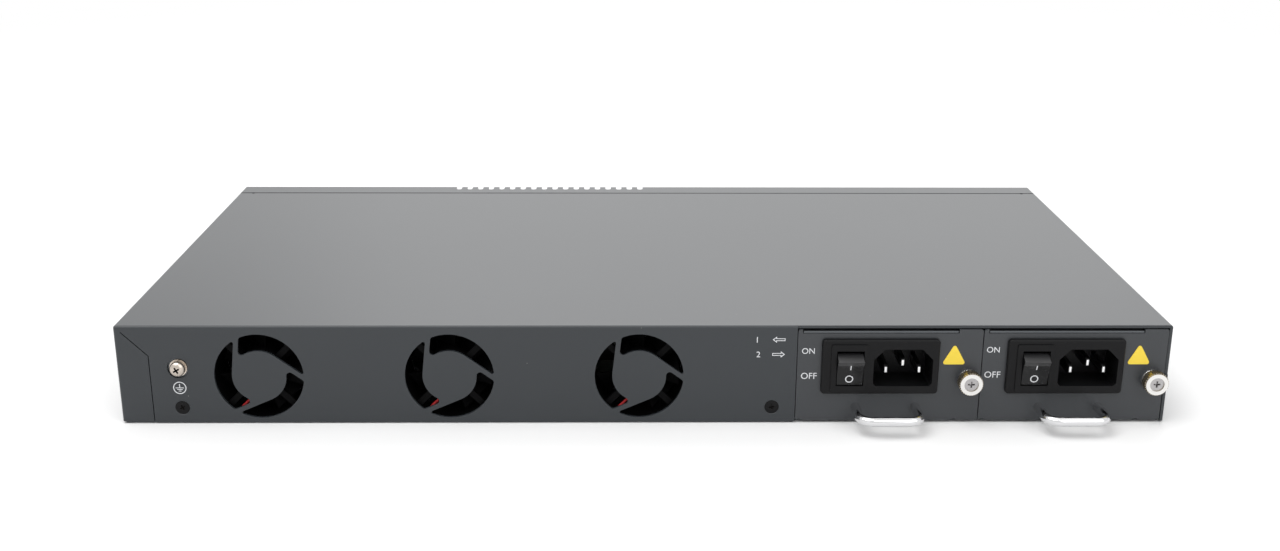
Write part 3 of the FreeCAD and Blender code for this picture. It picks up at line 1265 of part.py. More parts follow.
    rocker = Piece(f"psu_rocker_{unit}")
    AXIS_Z = "(window_low + window_high) / 2"
    rocker.pad("YZ", "window_start + rocker_play", "window_end - window_start - 2 * rocker_play",
               poly(("-rocker_face_low", f"{AXIS_Z} - rocker_low_half"), ("-rocker_face_mid", AXIS_Z),
                    ("-rocker_face_high", f"{AXIS_Z} + rocker_high_half"),
                    ("0", f"{AXIS_Z} + rocker_sweep * 0.92"), ("rocker_axis_y", f"{AXIS_Z} + rocker_sweep"),
                    ("rocker_axis_y + rocker_back", f"{AXIS_Z} + rocker_sweep * 0.8"),
                    ("rocker_axis_y + rocker_back", f"{AXIS_Z} - rocker_sweep * 0.8"),
                    ("rocker_axis_y", f"{AXIS_Z} - rocker_sweep"), ("0", f"{AXIS_Z} - rocker_sweep * 0.92")))
    rocker.dress("Fillet", "0.4", lambda edge: along(edge, V(1, 0, 0)) and edge.CenterOfMass.y < -num("rocker_face_low") + 0.01)
    rocker.pad("YZ", "window_start - rocker_stub_long", "window_end - window_start + 2 * rocker_stub_long",
               circle("rocker_axis_y", AXIS_Z, "rocker_stub"))
    nodes.append(rocker.place(*spot).body)

    handle = Piece(f"psu_handle_{unit}")
    path = handle.new("Sketcher::SketchObject", "path")
    path.AttachmentSupport = (handle.datum("XY_Plane"), [""])
    path.MapMode = "FlatFace"
    path.setExpression("AttachmentOffset.Base.z", full("handle_level"))
    WEST = "handle_middle - handle_apart / 2"
    EAST = "handle_middle + handle_apart / 2"
    runs = [((WEST, "0"), (WEST, "handle_bend - handle_reach")),
            ((f"{WEST} + handle_bend", "-handle_reach"), (f"{EAST} - handle_bend", "-handle_reach")),
            ((EAST, "handle_bend - handle_reach"), (EAST, "0"))]
    for index, (start, stop) in enumerate(runs):
        path.addGeometry(Part.LineSegment(V(num(start[0]), num(start[1]), 0), V(num(stop[0]), num(stop[1]), 0)), False)
        bind_point(path, index, 1, *start)
        bind_point(path, index, 2, *stop)
    for index, (x, turn) in enumerate(((f"{WEST} + handle_bend", math.pi), (f"{EAST} - handle_bend", 1.5 * math.pi))):
        ring = Part.Circle(V(num(x), num("handle_bend - handle_reach"), 0), V(0, 0, 1), num("handle_bend"))
        arc = path.addGeometry(Part.ArcOfCircle(ring, turn, turn + math.pi / 2), False)
        path.addConstraint(Sketcher.Constraint("Coincident", arc, 1, index, 2))
        path.addConstraint(Sketcher.Constraint("Coincident", arc, 2, index + 1, 1))
        bind(path, "Radius", (arc,), "handle_bend")
    profile = handle.sketch("XZ", "0", circle(WEST, "handle_level", "handle_radius"))
    bar = handle.new("PartDesign::AdditivePipe", "bar")
    bar.Profile = profile
    bar.Spine = (path, [])
    handle.pocket("XZ", "-handle_bore_deep", "handle_bore_deep + 1",
                  *[circle(x, "handle_level", "handle_bore") for x in (WEST, EAST)])
    nodes.append(handle.place(*spot).body)

    studs = []
    for index, x in enumerate((WEST, EAST)):
        studs.append(rod(f"handle_stud_{unit}_{index}", "Y", x, "panel_thick - handle_screw_long", "handle_level",
                         "handle_bore - screw_play", "handle_screw_long"))
        studs.append(rod(f"handle_stud_head_{unit}_{index}", "Y", x, "panel_thick", "handle_level",
                         "handle_screw_head", "handle_screw_high"))
    nodes.append(place(join(f"psu_handle_screws_{unit}", studs), *spot))

    ferrule = Piece(f"psu_ferrule_{unit}")
    ferrule.turn(poly(("thumb_shank + thumb_play", "-ferrule_proud"), ("ferrule_radius - 0.4", "-ferrule_proud"),
                      ("ferrule_radius", "-ferrule_proud * 0.6"), ("ferrule_radius", "0"),
                      ("ferrule_tube", "0"), ("ferrule_tube", "panel_thick"),
                      ("thumb_shank + thumb_play", "panel_thick")))
    thumb_spot = (f"{spot[0]} + thumb_x", REAR, "thumb_level")
    nodes.append(ferrule.place(*thumb_spot).body)

    collar = Piece(f"psu_thumb_washer_{unit}")
    collar.turn(rect("thumb_shank + thumb_play", "-thumb_back + 0.05", "thumb_washer_radius",
                     "-thumb_back + 0.05 + thumb_washer_thick"))
    nodes.append(collar.place(*thumb_spot).body)

    knob = Piece(f"psu_thumbscrew_{unit}")
    knob.turn(poly(("0", "thumb_ring_deep - thumb_proud"), ("thumb_ring", "thumb_ring_deep - thumb_proud"),
                   ("thumb_ring", "-thumb_proud"), ("thumb_radius - 0.5", "-thumb_proud"),
                   ("thumb_radius", "0.5 - thumb_proud"), ("thumb_radius", "-thumb_back"),
                   ("thumb_shank", "-thumb_back"), ("thumb_shank", "thumb_long - 1"),
                   ("thumb_shank - 0.8", "thumb_long"), ("0", "thumb_long")))
    nick = knob.pocket("XZ", "-thumb_proud - 1", "thumb_proud - thumb_back + 0.4",
                       poly(("thumb_radius - knurl_deep", "0"), ("thumb_radius + 0.3", "-knurl_half - 0.2"),
                            ("thumb_radius + 0.3", "knurl_half + 0.2")))
    knob.ring([nick], "Y", "knurl_count")
    for wide, high in (("thumb_cross / 2", "0.45"), ("0.45", "thumb_cross / 2")):
        knob.pocket("XZ", "-thumb_proud", "thumb_ring_deep + thumb_cross_deep", rect(f"-({wide})", f"-({high})", wide, high))
    nodes.append(knob.place(*thumb_spot).body)

    card = Piece(f"psu_board_{unit}")
    SIDE_WEST = "recess_start + box_sheet + unit_board_side"
    SIDE_EAST = "recess_end - box_sheet - unit_board_side"
    card.pad("XY", TONGUE_LEVEL, "board_thick",
             poly((SIDE_WEST, "unit_board_start"), (SIDE_EAST, "unit_board_start"),
                  (SIDE_EAST, "box_long - unit_board_end"),
                  (f"{TONGUE_MID} + tongue_half", "box_long - unit_board_end"),
                  (f"{TONGUE_MID} + tongue_half", "box_long + tongue_long + panel_thick"),
                  (f"{TONGUE_MID} - tongue_half", "box_long + tongue_long + panel_thick"),
                  (f"{TONGUE_MID} - tongue_half", "box_long - unit_board_end"),
                  (SIDE_WEST, "box_long - unit_board_end")))
    nodes.append(card.place(*spot).body)

    TOP = f"({TONGUE_LEVEL} + board_thick)"
    FIN_Y = ("unit_board_start + fin_front", "unit_board_start + fin_front + fin_long")
    parts = [
        rod(f"unit_coil_{unit}", "Z", "recess_start + part_in", "unit_board_start + coil_radius + 7", TOP,
            "coil_radius", "coil_high"),
        block(f"unit_block_{unit}", (f"{TONGUE_MID} - block_wide / 2", f"{TONGUE_MID} + block_wide / 2"),
              ("box_long * 0.56", "box_long * 0.56 + block_deep"), (TOP, f"{TOP} + block_high")),
        block(f"unit_fin_west_{unit}", ("recess_start + fin_in", "recess_start + fin_in + fin_thick"), FIN_Y,
              (TOP, f"{TOP} + fin_high")),
        block(f"unit_fin_east_{unit}", ("recess_end - fin_in - fin_thick", "recess_end - fin_in"), FIN_Y,
              (TOP, f"{TOP} + fin_high")),
    ]
    for index in range(3):
        parts.append(rod(f"unit_can_{unit}_{index}", "Z", f"{TONGUE_MID} + {index - 1} * can_apart",
                         "box_long - unit_board_end - can_back", TOP, "can_radius", "can_high - 4"))
    parts.append(rod(f"unit_bulk_{unit}", "Z", "recess_end - part_in", "unit_board_start + part_in", TOP,
                     "can_radius + 2", "can_high"))
    nodes.append(place(join(f"psu_parts_{unit}", parts), *spot))

    sticker = Piece(f"psu_sticker_{unit}")
    sticker.pad("XZ", "-sticker_thick", "sticker_thick",
                poly(("sticker_x - sticker_half", "sticker_low"), ("sticker_x + sticker_half", "sticker_low"),
                     ("sticker_x", "sticker_low + sticker_high")))
    sticker.dress("Fillet", "sticker_round", lambda edge: along(edge, V(0, 1, 0)))
    nodes.append(sticker.place(*spot).body)

# -------------------------------------------------------------------- export
doc.recompute()
for item in doc.Objects:
    if "Invalid" in item.State or "Error" in item.State:
        raise RuntimeError(f"{item.Name} did not compute")
for item in nodes:
    if item.Shape.isNull() or not item.Shape.isValid():
        raise RuntimeError(f"{item.Label} has a bad shape")
for item in nodes:
    item.Shape.exportStep(f"parts/{item.Label}.step")
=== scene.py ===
import json
import logging
import math
from collections.abc import Callable, Sequence
from dataclasses import dataclass, field
from enum import Enum

import bmesh
import bpy
from mathutils import Matrix, Vector

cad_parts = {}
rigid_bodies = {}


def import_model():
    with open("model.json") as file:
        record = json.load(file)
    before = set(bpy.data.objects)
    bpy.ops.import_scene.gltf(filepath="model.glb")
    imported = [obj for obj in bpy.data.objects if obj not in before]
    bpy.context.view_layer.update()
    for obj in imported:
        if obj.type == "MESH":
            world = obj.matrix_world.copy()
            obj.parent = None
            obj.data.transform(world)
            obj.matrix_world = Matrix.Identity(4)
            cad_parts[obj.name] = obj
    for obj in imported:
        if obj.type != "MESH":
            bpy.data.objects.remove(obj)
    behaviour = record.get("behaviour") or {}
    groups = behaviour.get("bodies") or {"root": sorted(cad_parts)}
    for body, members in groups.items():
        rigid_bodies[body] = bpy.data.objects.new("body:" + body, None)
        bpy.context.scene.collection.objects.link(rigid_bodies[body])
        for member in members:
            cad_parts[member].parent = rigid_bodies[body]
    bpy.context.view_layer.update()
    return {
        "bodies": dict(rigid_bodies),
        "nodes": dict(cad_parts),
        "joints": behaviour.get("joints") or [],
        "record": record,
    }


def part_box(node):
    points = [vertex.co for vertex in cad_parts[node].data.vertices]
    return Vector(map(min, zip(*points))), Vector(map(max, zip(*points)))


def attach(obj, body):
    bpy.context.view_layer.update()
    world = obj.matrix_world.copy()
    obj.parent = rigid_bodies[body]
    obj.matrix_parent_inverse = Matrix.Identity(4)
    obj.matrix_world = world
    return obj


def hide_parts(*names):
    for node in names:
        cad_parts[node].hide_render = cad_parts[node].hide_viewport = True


LOG = logging.getLogger("rack_switch")
MM = 0.001
UNITS = (1, 2)
WHITE = (1.0, 1.0, 1.0, 1.0)
# Slack of the tests that pick parts of a mesh: cosine of a normal that looks a given way, distance of
# places that count as one, and shares just inside and just outside a limit.
SQUARE_ON = 0.9
NEAR = 1e-6
JUST_UNDER, JUST_OVER = 0.98, 1.02
Point = tuple[float, float, float]
Colour = tuple[float, float, float]
Corners = Sequence[tuple[float, float]]
Test = Callable[[Vector, Vector], bool]


class Axis(Enum):
    """World axis along which a turned piece is made."""

    X = (0.0, math.pi / 2, 0.0)
    Y = (-math.pi / 2, 0.0, 0.0)


class Part(Enum):
    """Kind of mesh part that a selection picks."""

    CORNER = "VERT"
    EDGE = "EDGE"
    FACE = "FACE"


class Align(Enum):
    """Side of its place on which printed text stands."""

    LEFT = "LEFT"
    CENTRE = "CENTER"


# ---------------------------------------------------------------------- shader groups


class Wiring:
    """Node tree under work, with short ways to add nodes and to feed their inputs."""

    def __init__(self, tree: bpy.types.NodeTree) -> None:
        """Take the tree that the nodes go into."""
        self.tree = tree

    def feed(self, node: bpy.types.Node, inputs: dict) -> None:
        """Link each input to its source socket, or set it to its value."""
        for socket, source in inputs.items():
            if isinstance(source, bpy.types.NodeSocket):
                self.tree.links.new(source, node.inputs[socket])
            else:
                node.inputs[socket].default_value = source

    def add(self, kind: str, inputs: dict | None = None, **settings: object) -> bpy.types.Node:
        """Add a node.

        Args:
            kind: Kind of node.
            inputs: Value or source socket of its inputs, by name or number.
            **settings: Settings of the node itself.

        Returns:
            The new node.
        """
        node = self.tree.nodes.new(kind)
        for name, value in settings.items():
            setattr(node, name, value)
        self.feed(node, inputs or {})
        return node

    def math(self, operation: str, *terms: object, clamp: bool = False) -> bpy.types.NodeSocket:
        """Work out one number from the terms."""
        inputs = dict(enumerate(terms))
        return self.add("ShaderNodeMath", inputs, operation=operation, use_clamp=clamp).outputs[0]

    def blend(self, share: bpy.types.NodeSocket, first: object, second: object) -> bpy.types.NodeSocket:
        """Mix two colours by a share."""
        return self.add("ShaderNodeMix", {0: share, 6: first, 7: second}, data_type="RGBA").outputs[2]


class EffectGroup:
    """Effect that more than one finish uses, as a node group that is built once."""

    NAME = "effect"
    INPUTS: tuple[str, ...] = ()
    OUTPUTS: tuple[str, ...] = ("Mask",)

    @staticmethod
    def fill(wiring: Wiring, start: bpy.types.Node) -> dict[str, bpy.types.NodeSocket]:
        """Wire the effect.

        Args:
            wiring: Tree of the group.
            start: Node that gives the group's inputs.

        Returns:
            The source of each output.
        """
        raise NotImplementedError

    @classmethod
    def use(cls, wiring: Wiring, place: bpy.types.NodeSocket, **values: float) -> bpy.types.Node:
        """Put the effect into a material.

        Args:
            wiring: Tree of the material.
            place: Object coordinates.
            **values: The group's other inputs.

        Returns:
            The group's node.
        """
        tree = bpy.data.node_groups.get(cls.NAME)
        if tree is None:
            tree = bpy.data.node_groups.new(cls.NAME, "ShaderNodeTree")
            tree.interface.new_socket("Vector", in_out="INPUT", socket_type="NodeSocketVector")
            for name in cls.INPUTS:
                tree.interface.new_socket(name, in_out="INPUT", socket_type="NodeSocketFloat")
            for name in cls.OUTPUTS:
                tree.interface.new_socket(name, in_out="OUTPUT", socket_type="NodeSocketFloat")
            inner = Wiring(tree)
            start = inner.add("NodeGroupInput")
            inner.feed(inner.add("NodeGroupOutput"), cls.fill(inner, start))
        return wiring.add("ShaderNodeGroup", {"Vector": place, **values}, node_tree=tree)


class GrainGroup(EffectGroup):
    """Fine moulded or sprayed grain with a slow drift of tone."""

    NAME = "fine_grain"
    INPUTS = ("Grain", "Broad")
    OUTPUTS = ("Height", "Tone")

    @staticmethod
    def fill(wiring: Wiring, start: bpy.types.Node) -> dict[str, bpy.types.NodeSocket]:
        """Wire a fine noise for the height and a broad one for the tone."""
        sources = {}
        for scale, detail, name in (("Grain", 2.0, "Height"), ("Broad", 3.0, "Tone")):
            noise = wiring.add("ShaderNodeTexNoise", {
                "Vector": start.outputs["Vector"], "Scale": start.outputs[scale], "Detail": detail})
            sources[name] = noise.outputs["Fac"]
        return sources


class DustGroup(EffectGroup):
    """Sparse specks of dust, as a mask."""

    NAME = "dust_specks"
    INPUTS = ("Scale", "Size")

    @staticmethod
    def fill(wiring: Wiring, start: bpy.types.Node) -> dict[str, bpy.types.NodeSocket]:
        """Wire the middles of scattered cells."""
        inputs = {name: start.outputs[name] for name in ("Vector", "Scale")}
        cells = wiring.add("ShaderNodeTexVoronoi", inputs)
        return {"Mask": wiring.math("LESS_THAN", cells.outputs["Distance"], start.outputs["Size"])}


class SeamGroup(EffectGroup):
    """Shade that gathers along a seam across Y on the top of the case, as a mask."""

    NAME = "seam_shade"
    INPUTS = ("Place", "Width")

    @staticmethod
    def fill(wiring: Wiring, start: bpy.types.Node) -> dict[str, bpy.types.NodeSocket]:
        """Wire the nearness to the seam, from 0 at its width to 1 on it."""
        along = wiring.add("ShaderNodeSeparateXYZ", {0: start.outputs["Vector"]}).outputs["Y"]
        away = wiring.math("ABSOLUTE", wiring.math("SUBTRACT", along, start.outputs["Place"]))
        share = wiring.math("DIVIDE", away, start.outputs["Width"])
        return {"Mask": wiring.math("SUBTRACT", 1.0, share, clamp=True)}


# --------------------------------------------------------------------------- finishes


@dataclass(frozen=True)
class Finish:
    """Surface finish with an even colour, a fine grain and a slow drift of tone."""

    name: str
    colour: Colour
    roughness: float = 0.5
    metallic: float = 0.0
    specular: float = 0.5
    coat: float = 0.0
    coat_roughness: float = 0.3
    coat_ior: float = 1.5
    grain: float = 0.0
    grain_scale: float = 2500.0
    grain_high: float = 0.00005
    broad_scale: float = 12.0
    tone_shift: float = 0.1
    dust: float = 0.0
    dust_scale: float = 95.0
    dust_size: float = 0.018
    dust_colour: Colour = (0.35, 0.34, 0.32)
    # Painted shade along a seam on the top: its place along Y, its width and its dark colour.
    seam: float | None = None
    seam_wide: float = 0.0011
    seam_colour: Colour = (0.004, 0.004, 0.005)

    def build(self) -> bpy.types.Material:
        """Make the material, or give the one already made."""
        if self.name in bpy.data.materials:
            return bpy.data.materials[self.name]
        material = bpy.data.materials.new(self.name)
        material.use_nodes = True
        wiring = Wiring(material.node_tree)
        shader = material.node_tree.nodes["Principled BSDF"]
        wiring.feed(shader, {
            "Roughness": self.roughness, "Metallic": self.metallic, "Specular IOR Level": self.specular,
            "Coat Weight": self.coat, "Coat Roughness": self.coat_roughness, "Coat IOR": self.coat_ior})
        self.dress(wiring, shader)
        return material

    def dress(self, wiring: Wiring, shader: bpy.types.Node) -> None:
        """Drift the colour, raise the grain, scatter the dust and shade the seam.

        Args:
            wiring: Tree of the material.
            shader: Its surface shader.
        """
        place = wiring.add("ShaderNodeTexCoord").outputs["Object"]
        grain = GrainGroup.use(wiring, place, Grain=self.grain_scale, Broad=self.broad_scale)
        low, high = ([part * (1.0 + sign * self.tone_shift) for part in self.colour] for sign in (-1, 1))
        colour = wiring.blend(grain.outputs["Tone"], (*low, 1.0), (*high, 1.0))
        if self.dust > 0.0:
            specks = DustGroup.use(wiring, place, Scale=self.dust_scale, Size=self.dust_size)
            share = wiring.math("MULTIPLY", specks.outputs["Mask"], self.dust)
            colour = wiring.blend(share, colour, (*self.dust_colour, 1.0))
        # Painted shade in the seam's gap: darken the colour there, raise the roughness and take the coat
        # away.
        if self.seam is not None:
            shade = SeamGroup.use(wiring, place, Place=self.seam, Width=self.seam_wide).outputs["Mask"]
            colour = wiring.blend(shade, colour, (*self.seam_colour, 1.0))
            for name, near, on_it in (("Roughness", self.roughness, 1.0), ("Coat Weight", self.coat, 0.0)):
                change = wiring.add("ShaderNodeMapRange", {"Value": shade, "To Min": near, "To Max": on_it})
                wiring.feed(shader, {name: change.outputs[0]})
        wiring.feed(shader, {"Base Color": colour})
        if self.grain > 0.0:
            bump = wiring.add("ShaderNodeBump", {
                "Strength": self.grain, "Distance": self.grain_high, "Height": grain.outputs["Height"]})
            wiring.feed(shader, {"Normal": bump.outputs["Normal"]})


# Powder coat that the cover and the module panels share.
COAT = {"roughness": 0.42, "specular": 0.25, "coat": 1.0, "coat_roughness": 0.36, "coat_ior": 1.31,
        "grain": 0.3, "grain_scale": 1500.0}


class Palette:
    """Every finish of the switch."""

    # The cover's seam at the front panel gets painted shade.
    COVER = Finish("dark_powder_coat", (0.0230, 0.0268, 0.0308), dust=0.5, seam=0.1, **COAT)
    PANEL = Finish("module_powder_coat", (0.032, 0.035, 0.039), **COAT)
    ZINC = Finish("zinc_sheet", (0.46, 0.47, 0.48), 0.38, 1.0, grain=0.15, grain_scale=260.0, tone_shift=0.18)
    # Zinc darkened as painted shade, for the module cases, the bay and the base, which sit in gaps, notches
    # and behind the panels.
    SHADED_ZINC = Finish("zinc_sheet_painted_shade", (0.115, 0.122, 0.130), 0.5, 1.0, grain=0.15, grain_scale=260.0)
    NICKEL = Finish("bright_nickel", (0.74, 0.73, 0.71), 0.2, 1.0, grain=0.05, tone_shift=0.05)
    WARM_NICKEL = Finish("warm_nickel", (0.55, 0.49, 0.43), 0.24, 1.0, grain=0.08, tone_shift=0.12)
    CHROME = Finish("polished_chrome", (0.70, 0.70, 0.71), 0.10, 1.0, grain=0.03, tone_shift=0.03)
    KNURL = Finish("knurled_nickel_brass", (0.40, 0.35, 0.27), 0.3, 1.0, grain=0.2, tone_shift=0.15)
    DRIVE = Finish("drive_recess_metal", (0.40, 0.39, 0.39), 0.34, 1.0, grain=0.25, grain_scale=900.0,
                   tone_shift=0.2)
    # One metal in two copies: a painted highlight for the ends of the inlet pins and painted shade for their
    # sides.
    PIN_TIP = Finish("pin_tip", (0.80, 0.80, 0.80), 0.35, 1.0, tone_shift=0.03)
    PIN_SIDE = Finish("pin_side_painted_shade", (0.10, 0.10, 0.10), 0.3, 1.0, tone_shift=0.1)
    DARK = Finish("recess_shadow", (0.012, 0.010, 0.009), 0.6, specular=0.2, grain=0.1)
    BLACK_STEEL = Finish("black_screw_steel", (0.0055, 0.0055, 0.0060), 0.45, 0.0, specular=0.14, grain=0.1)
    INLET = Finish("black_moulding", (0.0050, 0.0050, 0.0055), 0.36, specular=0.16, grain=0.2,
                   grain_scale=3200.0)
    ROCKER = Finish("black_rocker", (0.0065, 0.0065, 0.0070), 0.24, specular=0.28, grain=0.05)
    FAN = Finish("fan_plastic", (0.0022, 0.0022, 0.0024), 0.55, specular=0.06, grain=0.1)
    RED_WIRE = Finish("red_wire", (0.30, 0.008, 0.010), 0.42, specular=0.3)
    BLACK_WIRE = Finish("black_wire", (0.006, 0.006, 0.006), 0.45, specular=0.2)
    # Lighter copy of the rocker's black for its upper facet: painted light where it faces the lamps.
    ROCKER_EDGE = Finish("rocker_upper_face_painted_light", (0.022, 0.022, 0.023), 0.3, specular=0.45, grain=0.05)
    INK = Finish("white_ink", (0.66, 0.67, 0.69), 0.6, specular=0.2, tone_shift=0.03)
    LABEL = Finish("yellow_label", (0.66, 0.41, 0.030), 0.45, specular=0.3, grain=0.04, tone_shift=0.04)
    BOARD = Finish("green_board", (0.008, 0.065, 0.028), 0.38, grain=0.2, grain_scale=700.0)
    CHIP = Finish("chip_black", (0.018, 0.018, 0.019), 0.5, grain=0.1)
    ALUMINIUM = Finish("milled_aluminium", (0.60, 0.61, 0.62), 0.36, 1.0, grain=0.1, tone_shift=0.06)
    GOLD = Finish("gold_contact", (0.83, 0.62, 0.25), 0.22, 1.0, tone_shift=0.05)
    LIGHT = Finish("frosted_light", (0.50, 0.58, 0.50), 0.3, tone_shift=0.05)
    BUTTON = Finish("grey_button", (0.28, 0.29, 0.30), 0.42, grain=0.1)
    SOCKET = Finish("socket_plastic", (0.012, 0.012, 0.013), 0.4, specular=0.3, grain=0.15)


# ------------------------------------------------------------------------ mesh making


class Shaper:
    """One mesh under work, with its parts picked by place or normal."""

    def __init__(self, name: str) -> None:
        """Take the object just added, and name it."""
        self.piece = bpy.context.object
        self.piece.name = name
        self.piece.data.name = name

    @staticmethod
    def rest() -> None:
        """Leave edit mode with nothing selected."""
        if bpy.context.object is not None and bpy.context.object.mode == "EDIT":
            bpy.ops.object.mode_set(mode="OBJECT")
        bpy.ops.object.select_all(action="DESELECT")

    @classmethod
    def hoop(cls, name: str, radius: float, centre: Point, sides: int, axis: Axis = Axis.Y) -> "Shaper":
        """Add an open circle of edges.

        Args:
            name: Name of the piece.
            radius: Radius in metres.
            centre: Middle of the circle.
            sides: Number of edges.
            axis: World axis that it stands across.

        Returns:
            The shaper of the new mesh.
        """
        cls.rest()
        bpy.ops.mesh.primitive_circle_add(vertices=sides, radius=radius, location=centre,
                                          rotation=axis.value, fill_type="NOTHING")
        return cls(name).settle()

    @classmethod
    def brick(cls, name: str, low: Sequence[float], high: Sequence[float]) -> "Shaper":
        """Add a box between two corners.

        Args:
            name: Name of the piece.
            low: Lowest corner.
            high: Highest corner.

        Returns:
            The shaper of the new mesh.
        """
        cls.rest()
        middle = [(a + b) / 2 for a, b in zip(low, high)]
        bpy.ops.mesh.primitive_cube_add(size=1.0, location=middle, scale=[b - a for a, b in zip(low, high)])
        return cls(name).settle()

    @classmethod
    def lathe(cls, name: str, centre: Sequence[float], profile: Corners, steps: int) -> "Shaper":
        """Turn a closed form about an axis along Y.

        Args:
            name: Name of the piece.
            centre: Place of the axis along X and Z.
            profile: Radius and place along Y of each corner, from axis to axis.
            steps: Number of sides.

        Returns:
            The shaper of the new mesh.
        """
        x, z = centre
        cls.rest()
        radius, y = profile[0]
        bpy.ops.mesh.primitive_plane_add(size=MM, location=(x + radius, y, z))
        shape = cls(name).settle()
        shape.pick(Part.CORNER)
        bpy.ops.mesh.merge(type="CENTER")
        for radius_next, y_next in profile[1:]:
            shape.extrude(radius_next - radius, y_next - y, 0.0)
            radius, y = radius_next, y_next
        bpy.ops.mesh.select_all(action="SELECT")
        shape.spin(2 * math.pi, (x, y, z), (0, 1, 0), steps)
        return shape.clean()

    def settle(self) -> "Shaper":
        """Put the object's place into its mesh."""
        bpy.ops.object.transform_apply(location=True, rotation=True, scale=True)
        return self

    def hold(self) -> None:
        """Make this piece the only one selected, in object mode."""
        self.rest()
        bpy.context.view_layer.objects.active = self.piece
        self.piece.select_set(True)

    def pick(self, kind: Part, test: Test = lambda middle, way: True) -> None:
        """Select parts in edit mode.

        Args:
            kind: Kind of part.
            test: Says yes to a part from its middle and its normal or direction.
        """
        if self.piece.mode != "EDIT":
            self.hold()
            bpy.ops.object.mode_set(mode="EDIT")
        bpy.ops.mesh.select_mode(type=kind.value)
        bpy.ops.mesh.select_all(action="DESELECT")
        mesh = bmesh.from_edit_mesh(self.piece.data)
        if kind is Part.FACE:
            parts = [(face, face.calc_center_median(), face.normal) for face in mesh.faces]
        elif kind is Part.EDGE:
            parts = [(edge, (edge.verts[0].co + edge.verts[1].co) / 2,
                      (edge.verts[1].co - edge.verts[0].co).normalized()) for edge in mesh.edges]
        else:
            parts = [(corner, corner.co, corner.normal) for corner in mesh.verts]
        for part in [part for part, middle, way in parts if test(middle, way)]:
            part.select_set(True)
        mesh.select_flush_mode()
        bmesh.update_edit_mesh(self.piece.data)

    def inset(self, width: float, rise: float = 0.0, each: bool = False) -> None:
        """Inset the picked faces, and raise the inner ones."""
        bpy.ops.mesh.inset(thickness=width, depth=rise, use_individual=each)

    def extrude(self, *move: float) -> None:
        """Extrude what is picked by a move in metres."""
        bpy.ops.mesh.extrude_region_move(TRANSFORM_OT_translate={"value": move})

    def shift(self, *move: float) -> None:
        """Move what is picked."""
        bpy.ops.transform.translate(value=move)

    def spread(self, scale: Point, centre: Point) -> None:
        """Scale what is picked about a point."""
        bpy.ops.transform.resize(value=scale, center_override=centre)

    def spin(self, angle: float, centre: Point, axis: Point, steps: int) -> None:
        """Sweep what is picked about an axis."""
        bpy.ops.mesh.spin(steps=steps, angle=angle, center=centre, axis=axis)

    def paint(self, finish: Finish, test: Test = lambda middle, way: True) -> None:
        """Give the faces that pass a test a finish of their own."""
        self.pick(Part.FACE, test)
        self.piece.data.materials.append(finish.build())
        self.piece.active_material_index = len(self.piece.data.materials) - 1
        bpy.ops.object.material_slot_assign()

    def clean(self) -> "Shaper":
        """Merge doubles and point every face outwards."""
        self.pick(Part.FACE)
        bpy.ops.mesh.select_all(action="SELECT")
        bpy.ops.mesh.remove_doubles(threshold=1e-7)
        bpy.ops.mesh.normals_make_consistent(inside=False)
        bpy.ops.object.mode_set(mode="OBJECT")
        return self

    def soften(self, width: float, segments: int = 2, angle: float = 30.0) -> "Shaper":
        """Round every sharp edge with a bevel modifier, and apply it."""
        self.hold()
        bevel = self.piece.modifiers.new("soft_edges", "BEVEL")
        bevel.width = width
        bevel.segments = segments
        bevel.limit_method = "ANGLE"
        bevel.angle_limit = math.radians(angle)
        bpy.ops.object.modifier_apply(modifier=bevel.name)
        return self

    def carve(self, cutter: "Shaper") -> "Shaper":
        """Take another mesh away from this one, and delete it."""
        self.hold()
        cut = self.piece.modifiers.new("carved", "BOOLEAN")
        cut.operation = "DIFFERENCE"
        cut.solver = "EXACT"
        cut.object = cutter.piece
        bpy.ops.object.modifier_apply(modifier=cut.name)
        bpy.data.objects.remove(cutter.piece, do_unlink=True)
        return self

    def weld(self, *others: "Shaper") -> "Shaper":
        """Join other pieces into this one."""
        self.hold()
        for other in others:
            other.piece.select_set(True)
        bpy.ops.object.join()
        return self

    def copy(self, name: str, *move: float) -> "Shaper":
        """Copy the piece with its own mesh, moved by a distance.

        Args:
            name: Name of the copy.
            *move: Move along X, Y and Z in metres.

        Returns:
            The shaper of the copy.
        """
        self.hold()
        bpy.ops.object.duplicate(linked=False)
        twin = Shaper(name)
        twin.shift(*move)
        return twin.settle()

    def finish(self, body: str, slot: str, coat: Finish | None = None,
               smooth: float = 35.0) -> bpy.types.Object:
        """Shade the piece, dress it and fix it to its body.

        Args:
            body: Body that it moves with.
            slot: Material slot that it belongs to; not used.
            coat: Finish of the whole piece, unless its faces have their own.
            smooth: Angle in degrees under which edges look smooth.

        Returns:
            The finished object.
        """
        self.hold()
        if coat is not None:
            self.piece.data.materials.clear()
            self.piece.data.materials.append(coat.build())
        bpy.ops.object.shade_smooth_by_angle(angle=math.radians(smooth))
        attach(self.piece, body)
        return self.piece


